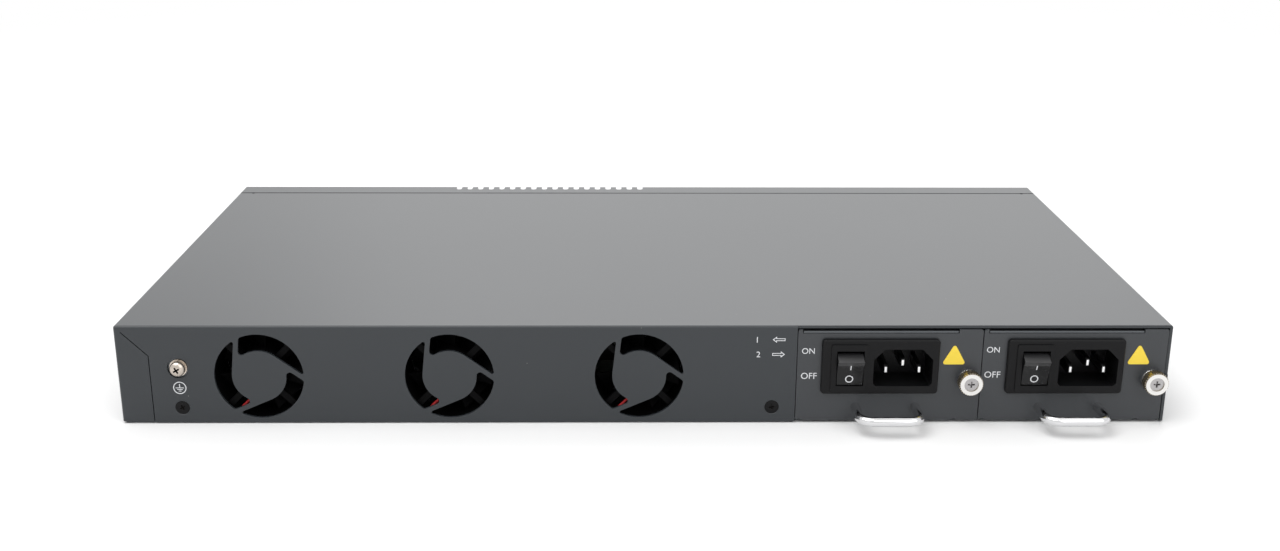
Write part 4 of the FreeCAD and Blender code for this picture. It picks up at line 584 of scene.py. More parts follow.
class Print:
    """Thin printed marks on a face that looks towards -Y or +Y."""

    CAPITAL_SHARE = 0.70
    CURVE_STEPS = 6

    def __init__(self, side: int = -1, proud: float = 0.03 * MM, thick: float = 0.02 * MM) -> None:
        """Say which way along Y the printed face looks, and how thick the ink is."""
        self.side = side
        self.proud = proud
        self.thick = thick

    def lay(self, name: str, x: float, y: float, z: float, tilt: float = 0.0) -> Shaper:
        """Stand the active flat curve or text up on its face, as a mesh.

        Args:
            name: Name of the mark.
            x: Place of its origin along X.
            y: Place of the face along Y.
            z: Place of its origin along Z.
            tilt: Lean of the face about X, in radians.

        Returns:
            The shaper of the mark.
        """
        mark = bpy.context.object
        mark.data.extrude = self.thick
        bpy.ops.object.convert(target="MESH")
        shape = Shaper(name)
        turn = Matrix.Rotation(math.pi / 2 + tilt, 4, "X")
        if self.side > 0:
            turn = Matrix.Rotation(math.pi, 4, "Z") @ turn
        shape.piece.matrix_world = Matrix.Translation((x, y + self.side * self.proud, z)) @ turn
        return shape.settle().clean()

    def words(self, name: str, text: str, x: float, y: float, z: float, high: float,
              wide: float | None = None, align: Align = Align.LEFT) -> Shaper:
        """Print a word or number.

        Args:
            name: Name of the mark.
            text: What it says.
            x: Place along X of its left end or middle.
            y: Place of the face.
            z: Baseline.
            high: Height of its capitals.
            wide: Width that it is stretched to, if any.
            align: Whether x is its left end or its middle.

        Returns:
            The shaper of the mark.
        """
        Shaper.rest()
        bpy.ops.object.text_add()
        mark = bpy.context.object
        mark.data.body = text
        mark.data.align_x = align.value
        mark.data.resolution_u = self.CURVE_STEPS
        mark.data.size = high / self.CAPITAL_SHARE
        bpy.context.view_layer.update()
        low = min(corner[0] for corner in mark.bound_box)
        span = max(corner[0] for corner in mark.bound_box) - low
        stretch = wide / span if wide else 1.0
        if align is Align.LEFT:
            x += self.side * low * stretch
        mark.scale = (stretch, 1.0, 1.0)
        bpy.ops.object.transform_apply(location=False, rotation=False, scale=True)
        return self.lay(name, x, y, z)

    def outline(self, name: str, loops: Sequence[Corners], x: float, y: float, z: float,
                tilt: float = 0.0) -> Shaper:
        """Print a flat shape from closed loops; a loop inside another is a hole.

        Args:
            name: Name of the mark.
            loops: Corners of each loop, in metres.
            x: Place of its origin along X.
            y: Place of the face.
            z: Place of its origin along Z.
            tilt: Lean of the face about X, in radians.

        Returns:
            The shaper of the mark.
        """
        Shaper.rest()
        curve = bpy.data.curves.new(name, "CURVE")
        curve.dimensions = "2D"
        curve.fill_mode = "BOTH"
        for loop in loops:
            spline = curve.splines.new("POLY")
            spline.points.add(len(loop) - 1)
            for corner, spot in zip(spline.points, loop):
                corner.co = (*spot, 0.0, 1.0)
            spline.use_cyclic_u = True
        mark = bpy.data.objects.new(name, curve)
        bpy.context.scene.collection.objects.link(mark)
        bpy.context.view_layer.objects.active = mark
        mark.select_set(True)
        return self.lay(name, x, y, z, tilt)


def ring_loop(radius: float, sides: int = 40) -> list[tuple[float, float]]:
    """Corners of a circle."""
    turns = [2 * math.pi * step / sides for step in range(sides)]
    return [(radius * math.cos(turn), radius * math.sin(turn)) for turn in turns]


def facing(*way: float) -> Test:
    """Make the test for faces that look one way."""
    wanted = Vector(way)
    return lambda middle, normal: normal.dot(wanted) > SQUARE_ON


def away_from(x: float, z: float) -> Callable[[Vector], float]:
    """Make the measure of how far a point lies from an axis along Y."""
    return lambda spot: math.hypot(spot.x - x, spot.z - z)


def cross_cutter(spot: Point, long: float, wide: float, deep: float, turn: float = 0.0,
                 taper: float = 0.5) -> Shaper:
    """Make the tapered cross that cuts a driver recess.

    Args:
        spot: Middle of the recess, on a surface that looks towards -Y.
        long: Span of the cross.
        wide: Width of its arms.
        deep: Depth.
        turn: Turn of the cross about its axis, in radians.
        taper: Share of its size that is left at the bottom.

    Returns:
        The shaper of the cross.
    """
    x, y, z = spot
    half = wide / 2
    cross = Shaper.brick("cross_cutter", (x - half, y - MM, z - half), (x + half, y + deep, z + half))
    reach = long / 2 - half
    for move in ((reach, 0, 0), (-reach, 0, 0), (0, 0, reach), (0, 0, -reach)):
        way = Vector(move).normalized()
        cross.pick(Part.FACE, lambda middle, normal, way=way: normal.dot(way) > SQUARE_ON
                   and (middle - Vector((x, middle.y, z))).length < half * JUST_OVER)
        cross.extrude(*move)
    cross.pick(Part.CORNER, lambda middle, normal: middle.y > y)
    cross.spread((taper, 1.0, taper), (x, y, z))
    cross.pick(Part.CORNER)
    bpy.ops.transform.rotate(value=turn, orient_axis="Y", center_override=spot)
    return cross.clean()


# ----------------------------------------------------------------------------- pieces


@dataclass
class Thumbscrew:
    """Knurled captive screw of a power module."""

    unit: int
    knurls: int = 30
    ridge: float = 0.34 * MM
    groove: float = 0.08 * MM
    chamfer: float = 0.4 * MM
    recess_radius: float = 3.0 * MM
    recess_deep: float = 0.5 * MM
    recess_reach: float = 3.0 * MM
    cross_long: float = 3.6 * MM
    cross_wide: float = 0.95 * MM
    cross_deep: float = 1.3 * MM
    shank: float = 1.95 * MM
    shank_end: float = 1.17 * MM
    head_long: float = 4.7 * MM
    rim_facing: float = 0.2

    def build(self) -> list[bpy.types.Object]:
        """Model the screw in place of its plain solid.

        Returns:
            The finished screw.
        """
        low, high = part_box(f"psu_thumbscrew_{self.unit}")
        x, z = (low.x + high.x) / 2, (low.z + high.z) / 2
        radius = (high.z - low.z) / 2
        face, back = low.y, low.y + self.head_long
        core = radius - self.ridge
        lip = face + self.recess_deep
        off_axis = away_from(x, z)
        head = Shaper.lathe(f"thumbscrew_head_{self.unit}", (x, z), (
            (0.0, lip), (self.recess_radius, lip), (self.recess_radius, face), (radius - self.chamfer, face),
            (core, face + self.chamfer), (core, back), (self.shank, back), (self.shank, high.y - MM),
            (self.shank_end, high.y), (0.0, high.y)), self.knurls * 2)
        slice_turn = math.pi / self.knurls

        def is_ridge(middle: Vector, way: Vector) -> bool:
            """Whether a side face of the head is every second one."""
            turn = math.atan2(middle.z - z, middle.x - x) / slice_turn
            return abs(way.y) < 0.1 and off_axis(middle) > core * JUST_UNDER and math.floor(turn) % 2 == 0

        head.pick(Part.FACE, is_ridge)
        head.inset(self.groove, self.ridge, each=True)
        head.clean().carve(cross_cutter((x, lip, z), self.cross_long, self.cross_wide, self.cross_deep))
        rim = self.recess_radius * JUST_UNDER
        lowest = face + self.chamfer * JUST_OVER
        head.paint(Palette.KNURL)
        head.paint(Palette.NICKEL, lambda middle, way: middle.y < lowest and off_axis(middle) > rim
                   and way.y < -self.rim_facing)
        head.paint(Palette.DRIVE, lambda middle, way: off_axis(middle) < rim
                   and middle.y < face + self.recess_reach)
        piece = head.finish(f"thumbscrew_{self.unit}", "brass", smooth=25)
        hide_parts(f"psu_thumbscrew_{self.unit}")
        return [piece]


@dataclass
class Handle:
    """Bent chrome bar that a power module is pulled out by."""

    unit: int
    bend: float = 5.5 * MM
    sides: int = 32
    steps: int = 12

    def build(self) -> list[bpy.types.Object]:
        """Sweep the bar out, across and back.

        Returns:
            The finished handle.
        """
        low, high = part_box(f"psu_handle_{self.unit}")
        radius = (high.z - low.z) / 2
        z = (high.z + low.z) / 2
        west, east = low.x + radius, high.x - radius
        front = low.y + radius
        bar = Shaper.hoop(f"pull_handle_{self.unit}", radius, (west, high.y, z), self.sides)
        bar.pick(Part.EDGE)
        bar.extrude(0.0, front + self.bend - high.y, 0.0)
        bar.spin(-math.pi / 2, (west + self.bend, front + self.bend, z), (0, 0, 1), self.steps)
        bar.extrude(east - west - 2 * self.bend, 0.0, 0.0)
        bar.spin(-math.pi / 2, (east - self.bend, front + self.bend, z), (0, 0, 1), self.steps)
        bar.extrude(0.0, high.y - front - self.bend, 0.0)
        bpy.ops.mesh.edge_face_add()
        bar.pick(Part.EDGE, lambda middle, way: middle.y > high.y - NEAR and middle.x < (west + east) / 2)
        bpy.ops.mesh.edge_face_add()
        piece = bar.clean().finish(f"psu_{self.unit}", "chrome", Palette.CHROME, 60)
        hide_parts(f"psu_handle_{self.unit}")
        return [piece]


@dataclass
class Rocker:
    """Rocker of the mains switch, with its two printed marks."""

    unit: int
    profile: tuple[tuple[float, float], ...] = (
        (-2.3, 17.95), (-2.45, 19.3), (-2.95, 22.4), (-3.65, 25.3), (-4.6, 27.5), (-5.9, 29.6))
    crown: tuple[tuple[float, float], ...] = ((-0.9, 31.75), (3.0, 32.9), (6.0, 31.45))
    heel: tuple[tuple[float, float], ...] = ((0.0, 18.5), (3.0, 17.95), (6.0, 19.4))
    span: tuple[float, float] = (18 * MM, 32 * MM)
    front: float = 1 * MM
    back: float = 6 * MM
    side_gap: float = 1.2 * MM
    edge_round: float = 0.4 * MM
    stroke: float = 0.42 * MM
    stroke_half: float = 1.2 * MM
    ring: float = 1.7 * MM
    on_facet: int = 3
    on_level: float = 26.55
    off_facet: int = 1
    off_level: float = 21.0
    off_shift: float = -0.3 * MM
    top_over: float = 29 * MM
    heel_under: float = 19 * MM
    ledge_facing: float = 0.3

    def build(self) -> list[bpy.types.Object]:
        """Model the rocker and print its marks.

        Returns:
            The rocker and the marks.
        """
        low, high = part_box(f"psu_rocker_{self.unit}")
        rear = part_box(f"psu_panel_{self.unit}")[0].y
        west, east = low.x + self.side_gap, high.x - self.side_gap
        bottom, top = self.span
        body = f"rocker_{self.unit}"
        rows = len(self.profile)
        bar = Shaper.brick(body, (west, rear - self.front, bottom), (east, rear + self.back, top))
        bar.pick(Part.EDGE, lambda middle, way: abs(way.z) > SQUARE_ON)
        bpy.ops.mesh.subdivide(number_cuts=rows - 2)
        for row, (y, z) in enumerate(self.profile):
            level = bottom + row * (top - bottom) / (rows - 1)
            bar.pick(Part.CORNER, lambda middle, way, level=level: abs(middle.z - level) < NEAR
                     and middle.y < rear)
            bar.shift(0.0, y * MM + self.front, z * MM - level)
        self.round_back(bar, rear)
        bar.clean().soften(self.edge_round, segments=3, angle=38)
        ledge = self.profile[-2][1] * MM
        bar.paint(Palette.ROCKER)
        # Painted light: the upper facet gets the lighter copy of the rocker's black.
        bar.paint(Palette.ROCKER_EDGE, lambda middle, way: middle.z > ledge
                  and way.y < -self.ledge_facing)
        pieces = [bar.finish(body, "black_plastic", smooth=40)]
        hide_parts(f"psu_rocker_{self.unit}")
        middle = (west + east) / 2
        half, tall = self.stroke / 2, self.stroke_half
        bar_loop = [(-half, -tall), (half, -tall), (half, tall), (-half, tall)]
        ring_loops = [ring_loop(self.ring), ring_loop(self.ring - self.stroke)]
        ink = Print(proud=0.04 * MM, thick=0.03 * MM)
        for name, loops, x, facet, level in (
                ("on", [bar_loop], middle, self.on_facet, self.on_level),
                ("off", ring_loops, middle + self.off_shift, self.off_facet, self.off_level)):
            mark = ink.outline(f"switch_{name}_mark_{self.unit}", loops, x, *self.facet(facet, rear, level),
                               self.lean(facet))
            pieces.append(mark.finish(body, "black_plastic", Palette.INK))
        return pieces

    def lean(self, facet: int) -> float:
        """Lean of one facet of the face, in radians."""
        (y, z), (y_next, z_next) = self.profile[facet:facet + 2]
        return math.atan2(y - y_next, z_next - z)

    def facet(self, facet: int, rear: float, level: float) -> tuple[float, float]:
        """Place along Y and Z of a point of one facet of the face.

        Args:
            facet: Number of the facet, from below.
            rear: Face of the panel along Y.
            level: Height of the point, in millimetres.

        Returns:
            The two places, in metres.
        """
        y, z = self.profile[facet]
        return rear + (y - (level - z) * math.tan(self.lean(facet))) * MM, level * MM

    def round_back(self, bar: Shaper, rear: float) -> None:
        """Give the rocker's top and heel the curve that clears its window.

        Args:
            bar: Rocker under work.
            rear: Face of the panel along Y.
        """
        for spots, low, high in ((self.crown, self.top_over, 1.0), (self.heel, -1.0, self.heel_under)):
            bar.pick(Part.EDGE, lambda middle, way, low=low, high=high: abs(way.y) > 0.5
                     and low < middle.z < high)
            bpy.ops.mesh.subdivide(number_cuts=len(spots) - 1)
            corners = bmesh.from_edit_mesh(bar.piece.data).verts
            found = sorted({round(corner.co.y, 7) for corner in corners if low < corner.co.z < high})
            for old, (y, z) in zip(found[1:], spots):
                bar.pick(Part.CORNER, lambda middle, way, low=low, high=high, old=old: low < middle.z < high
                         and abs(middle.y - old) < NEAR)
                corners = bmesh.from_edit_mesh(bar.piece.data).verts
                heights = [corner.co.z for corner in corners if corner.select]
                bar.shift(0.0, rear + y * MM - old, z * MM - sum(heights) / len(heights))


@dataclass
class InletPins:
    """Three blades of a mains inlet, with tapered ends."""

    unit: int
    size: tuple[float, float] = (2.0 * MM, 4.0 * MM)
    tip: tuple[float, float] = (1.0 * MM, 2.4 * MM)
    taper: float = 1.6 * MM
    sink: float = 0.7 * MM
    apart: float = 7.0 * MM
    earth_up: float = 3.1 * MM
    edge_round: float = 0.12 * MM
    tip_facing: float = 0.8

    def build(self) -> list[bpy.types.Object]:
        """Model one blade and copy it twice.

        Returns:
            The three blades as one piece.
        """
        low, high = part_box(f"psu_pins_{self.unit}")
        middle = (low.x + high.x) / 2
        level = low.z + self.size[1] / 2 - self.sink
        half = [side / 2 for side in self.size]
        start = low.y + self.taper
        blade = Shaper.brick(f"inlet_pins_{self.unit}", (middle - half[0], start, level - half[1]),
                             (middle + half[0], high.y, level + half[1]))
        blade.pick(Part.FACE, facing(0, -1, 0))
        blade.extrude(0.0, -self.taper, 0.0)
        scale = (self.tip[0] / self.size[0], 1.0, self.tip[1] / self.size[1])
        blade.spread(scale, (middle, low.y, level))
        blade.clean().soften(self.edge_round, angle=20)
        # The sides get painted shade and the ends that face -Y a painted highlight.
        blade.paint(Palette.PIN_SIDE)
        blade.paint(Palette.PIN_TIP, lambda spot, way: way.y <= -self.tip_facing)
        west = blade.copy("inlet_pin_west", -self.apart, 0.0, 0.0)
        east = blade.copy("inlet_pin_east", self.apart, 0.0, 0.0)
        blade.hold()
        blade.shift(0.0, 0.0, self.earth_up)
        piece = blade.settle().weld(west, east).finish(f"psu_{self.unit}", "nickel")
        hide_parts(f"psu_pins_{self.unit}")
        return [piece]


@dataclass
class CoverScrews:
    """Black countersunk screws that hold the cover, at the rear and along both sides."""

    form: Corners = ((0.0, 0.0), (2.8, 0.0), (3.05, 0.12), (3.05, 0.3), (1.5, 1.5), (1.5, 3.6), (0.0, 3.6))
    sides: int = 40
    cross_long: float = 3.2 * MM
    cross_wide: float = 0.85 * MM
    deep: float = 1.0 * MM
    rear_spots: tuple[float, float] = (-194.35 * MM, 53.3 * MM)
    side_spots: tuple[float, ...] = (-90.0 * MM, 10.0 * MM, 107.0 * MM)
    turns: tuple[float, float] = (0.45, 0.15)
    side_turn: float = 0.3

    def build(self) -> list[bpy.types.Object]:
        """Model one screw and copy it to every hole.

        Returns:
            All the screws as one piece.
        """
        low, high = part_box("cover_screws")
        level = (low.z + high.z) / 2
        screws = [self.screw(f"cover_screw_{index}", x, low.y, level, turn)
                  for index, (x, turn) in enumerate(zip(self.rear_spots, self.turns))]
        first = self.screw("cover_screw_side", 0.0, 0.0, level, self.side_turn)
        for turn, face in ((-math.pi / 2, high.x), (math.pi / 2, low.x)):
            for y in self.side_spots:
                screw = first.copy("cover_screw_side_copy", 0.0, 0.0, 0.0)
                screw.hold()
                bpy.ops.transform.rotate(value=turn, orient_axis="Z", center_override=(0, 0, 0))
                screw.shift(face, y, 0.0)
                screws.append(screw.settle())
        bpy.data.objects.remove(first.piece, do_unlink=True)
        piece = screws[0].weld(*screws[1:]).finish("chassis", "black_screw")
        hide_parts("cover_screws")
        return [piece]

    def screw(self, name: str, x: float, y: float, z: float, turn: float) -> Shaper:
        """Model one screw that looks towards -Y.

        Args:
            name: Name of the screw.
            x: Place along X.
            y: Place of its flat face.
            z: Place along Z.
            turn: Turn of its cross, in radians.

        Returns:
            The shaper of the screw.
        """
        off_axis = away_from(x, z)
        profile = [(radius * MM, y + depth * MM) for radius, depth in self.form]
        screw = Shaper.lathe(name, (x, z), profile, self.sides)
        screw.carve(cross_cutter((x, y, z), self.cross_long, self.cross_wide, self.deep, turn))
        screw.paint(Palette.BLACK_STEEL)
        screw.paint(Palette.DARK, lambda middle, way: off_axis(middle) < self.cross_long / 2
                    and y + NEAR < middle.y < y + self.deep * JUST_OVER)
        bpy.ops.object.mode_set(mode="OBJECT")
        return screw


@dataclass
class EarthScrew:
    """Pan head screw of the protective earth, over its washers."""

    turn: float = 0.5
    dome: Corners = ((0.0, 0.0), (0.45, 0.2), (0.75, 1.0), (0.92, 1.9), (1.0, 3.0))
    dome_drop: float = 0.16
    sides: int = 48
    head_long: float = 2.4 * MM
    shank: float = 1.95 * MM
    shank_end: float = 1.365 * MM
    cross_long: float = 3.7 * MM
    cross_wide: float = 0.95 * MM
    deep: float = 1.5 * MM
    dark_from: float = 0.3 * MM
    side_facing: float = 0.6

    def build(self) -> list[bpy.types.Object]:
        """Model the screw in place of its plain solid.

        Returns:
            The finished screw.
        """
        low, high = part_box("earth_screw")
        x, z = (low.x + high.x) / 2, (low.z + high.z) / 2
        radius = (high.x - low.x) / 2
        face, back = low.y, low.y + self.head_long
        drop = radius * self.dome_drop
        off_axis = away_from(x, z)
        screw = Shaper.lathe("earth_terminal_screw", (x, z), (
            *((radius * out, face + drop * down) for out, down in self.dome), (radius, back),
            (self.shank, back), (self.shank, high.y - MM), (self.shank_end, high.y),
            (0.0, high.y)), self.sides)
        screw.carve(cross_cutter((x, face, z), self.cross_long, self.cross_wide, self.deep, self.turn))
        screw.paint(Palette.WARM_NICKEL)
        screw.paint(Palette.DARK, lambda middle, way: abs(middle.y - face - self.deep) < NEAR
                    or off_axis(middle) < self.cross_long / 2 and face + self.dark_from < middle.y < back
                    and math.hypot(way.x, way.z) > self.side_facing)
        piece = screw.finish("chassis", "nickel", smooth=40)
        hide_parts("earth_screw")
        return [piece]


@dataclass
class ModulePrint:
    """Switch words printed on the panels of the power modules."""

    on_left: tuple[float, float] = (65.2, 142.6)
    on_wide: tuple[float, float] = (4.9, 5.0)
    on_base: tuple[float, float] = (31.3, 31.8)
    off_left: tuple[float, float] = (65.2, 142.4)
    off_wide: tuple[float, float] = (7.3, 7.5)
    off_base: tuple[float, float] = (20.0, 20.5)
    high: float = 2.6

    def build(self) -> list[bpy.types.Object]:
        """Print the switch words on both modules.

        Returns:
            The printed words.
        """
        pieces = []
        for index, unit in enumerate(UNITS):
            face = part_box(f"psu_panel_{unit}")[0].y
            for text, left, wide, base in (("ON", self.on_left, self.on_wide, self.on_base),
                                           ("OFF", self.off_left, self.off_wide, self.off_base)):
                word = Print().words(f"switch_word_{text.lower()}_{unit}", text, left[index] * MM, face,
                                     base[index] * MM, self.high * MM, wide[index] * MM)
                pieces.append(word.finish(f"psu_{unit}", "painted_steel", Palette.INK))
        return pieces


@dataclass
class WallPrint:
    """Module numbers, their arrows and the earth sign printed on the rear wall."""

    number_x: float = 46.2
    number_base: tuple[float, float] = (36.3, 29.75)
    number_high: float = 2.55
    arrow_left: float = 52.8
    arrow_levels: tuple[float, float] = (37.55, 31.0)
    arrow_outer: Corners = ((0.0, 0.0), (1.75, 1.4), (1.75, 0.588), (5.3, 0.588))
    arrow_inner: Corners = ((0.5236, 0.0), (1.47, 0.756), (1.47, 0.308), (5.02, 0.308))
    earth_radius: float = 2.75
    earth_line: float = 0.36
    earth_level: float = 16.2
    earth_stem: float = 0.62
    earth_bars: Corners = ((0.0, 0.62), (-0.26, 0.42), (-0.52, 0.22))
    earth_thin: float = 0.4

    def build(self) -> list[bpy.types.Object]:
        """Print every mark of the wall.

        Returns:
            The printed marks.
        """
        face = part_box("top_cover")[0].y
        marks = []
        for index, base in enumerate(self.number_base):
            marks.append(Print().words(f"module_number_{index + 1}", str(index + 1), self.number_x * MM, face,
                                       base * MM, self.number_high * MM))
            marks.append(self.arrow(index, face))
        marks.append(self.earth(face))
        return [mark.finish("chassis", "painted_steel", Palette.INK) for mark in marks]

    def arrow(self, index: int, face: float) -> Shaper:
        """Draw one hollow arrow.

        Args:
            index: 0 for the arrow that points left, 1 for the one that points right.
            face: Face of the wall along Y.

        Returns:
            The shaper of the arrow.
        """
        loops = [[*upper, *((x, -z) for x, z in reversed(upper[1:]))]
                 for upper in (self.arrow_outer, self.arrow_inner)]
        if index == 1:
            long = self.arrow_outer[-1][0]
            loops = [[(long - x, z) for x, z in reversed(loop)] for loop in loops]
        loops = [[(x * MM, z * MM) for x, z in loop] for loop in loops]
        return Print().outline(f"module_arrow_{index + 1}", loops, self.arrow_left * MM, face,
                               self.arrow_levels[index] * MM)

    def earth(self, face: float) -> Shaper:
        """Draw the protective earth sign in its ring.

        Args:
            face: Face of the wall along Y.

        Returns:
            The shaper of the sign.
        """
        low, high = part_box("earth_screw")
        x, z = (low.x + high.x) / 2, self.earth_level * MM
        ring, line = self.earth_radius * MM, self.earth_line * MM
        half, thin, stem = line / 2, line * self.earth_thin, ring * self.earth_stem
        loops = [ring_loop(ring), ring_loop(ring - line)]
        loops.append([(-half, stem), (-half, half), (half, half), (half, stem)])
        for drop, reach in self.earth_bars:
            end, low, high = ring * reach, ring * drop - thin, ring * drop + thin
            loops.append([(-end, low), (end, low), (end, high), (-end, high)])
        return Print().outline("earth_sign", loops, x, face, z)


@dataclass
class FanLeads:
    """Red and black supply leads of the three fans, with their plugs."""

    count: int = 3
    lead_radius: float = 0.62 * MM
    sides: int = 12
    steps: int = 6
    slope: float = math.pi / 4
    knee: Point = (-1.2 * MM, 0.0, -0.5 * MM)
    start_in: float = 2.5 * MM
    red_drop: float = 8.6 * MM
    black_drop: float = 10.3 * MM
    run: float = 7.2 * MM
    reach: float = 21.4 * MM
    back_run: float = 30.0 * MM
    corner: float = 3 * MM
    lane_out: float = 0.8 * MM
    plug: Point = (3.5 * MM, 9 * MM, 7 * MM)
    plug_rim: float = 0.8 * MM
    plug_round: float = 0.3 * MM

    def build(self) -> list[bpy.types.Object]:
        """Run both leads of each fan.

        Returns:
            The leads and plugs.
        """
        pieces = []
        low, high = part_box("fan_leads")
        half, deep, tall = self.plug
        for number in range(1, self.count + 1):
            frame_low, frame_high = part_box(f"fan_frame_{number}")
            x, z = (frame_low.x + frame_high.x) / 2, (frame_low.z + frame_high.z) / 2
            for word, finish, drop in (("red", Palette.RED_WIRE, self.red_drop),
                                       ("black", Palette.BLACK_WIRE, self.black_drop)):
                lead = self.lead(f"fan_{word}_lead_{number}", x, frame_low.y - self.lane_out, z - drop)
                pieces.append(lead.finish("chassis", "wire", finish, 60))
            plug = Shaper.brick(f"fan_plug_{number}", (x - self.reach - half, high.y - deep, low.z),
                                (x - self.reach + half, high.y, low.z + tall))
            plug.pick(Part.FACE, facing(0, 0, 1))
            plug.inset(self.plug_rim)
            plug.extrude(0.0, 0.0, -self.plug_rim)
            plug.clean().soften(self.plug_round)
            pieces.append(plug.finish("chassis", "natural_plastic", Palette.BUTTON))
        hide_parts("fan_leads")
        return pieces

    def lead(self, name: str, x: float, y: float, z: float) -> Shaper:
        """Sweep one lead from the hub, along the frame and back into the case.

        Args:
            name: Name of the lead.
            x: Axis of the fan along X.
            y: Lane that the lead runs in.
            z: Level at which it leaves the hub.

        Returns:
            The shaper of the lead.
        """
        radius, run = self.lead_radius, self.run
        start = Vector((x - self.start_in, y, z))
        lead = Shaper.hoop(name, radius, start, self.sides, Axis.X)
        lead.pick(Part.EDGE)
        self.turn_end(start, self.slope)
        lead.extrude(-run, 0.0, -run)
        knee = start + Vector((-run, 0.0, -run))
        self.turn_end(knee, -self.slope / 2)
        lead.extrude(*self.knee)
        bend = knee + Vector(self.knee)
        self.turn_end(bend, -self.slope / 2)
        corner = x - self.reach + self.corner
        lead.extrude(corner - bend.x, 0.0, 0.0)
        lead.spin(math.pi / 2, (corner, y + self.corner, bend.z), (0, 0, 1), self.steps)
        lead.extrude(0.0, self.back_run, 0.0)
        bpy.ops.mesh.edge_face_add()
        lead.pick(Part.EDGE, lambda middle, way: (middle - start).length < radius * JUST_OVER)
        bpy.ops.mesh.edge_face_add()
        return lead.clean()

    @staticmethod
    def turn_end(spot: Vector, angle: float) -> None:
        """Turn the picked ring of a lead about Y at a point."""
        bpy.ops.transform.rotate(value=angle, orient_axis="Y", center_override=spot)


@dataclass(frozen=True)
class SocketRow:
    """Sockets of one port block: where they start, how they repeat and how big they are."""

    node: str
    margin: float
    pitch: float
    columns: int
    low: float
    wide: float
    high: float
    apart: float
    rows: int = 2

    def spots(self) -> list[tuple[float, float, int]]:
        """Middle along X, sill along Z and row number of each socket."""
        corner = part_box(self.node)[0]
        first = corner.x + self.margin + self.pitch / 2
        return [(first + column * self.pitch, corner.z + self.low + row * self.apart, row)
                for row in range(self.rows) for column in range(self.columns)]


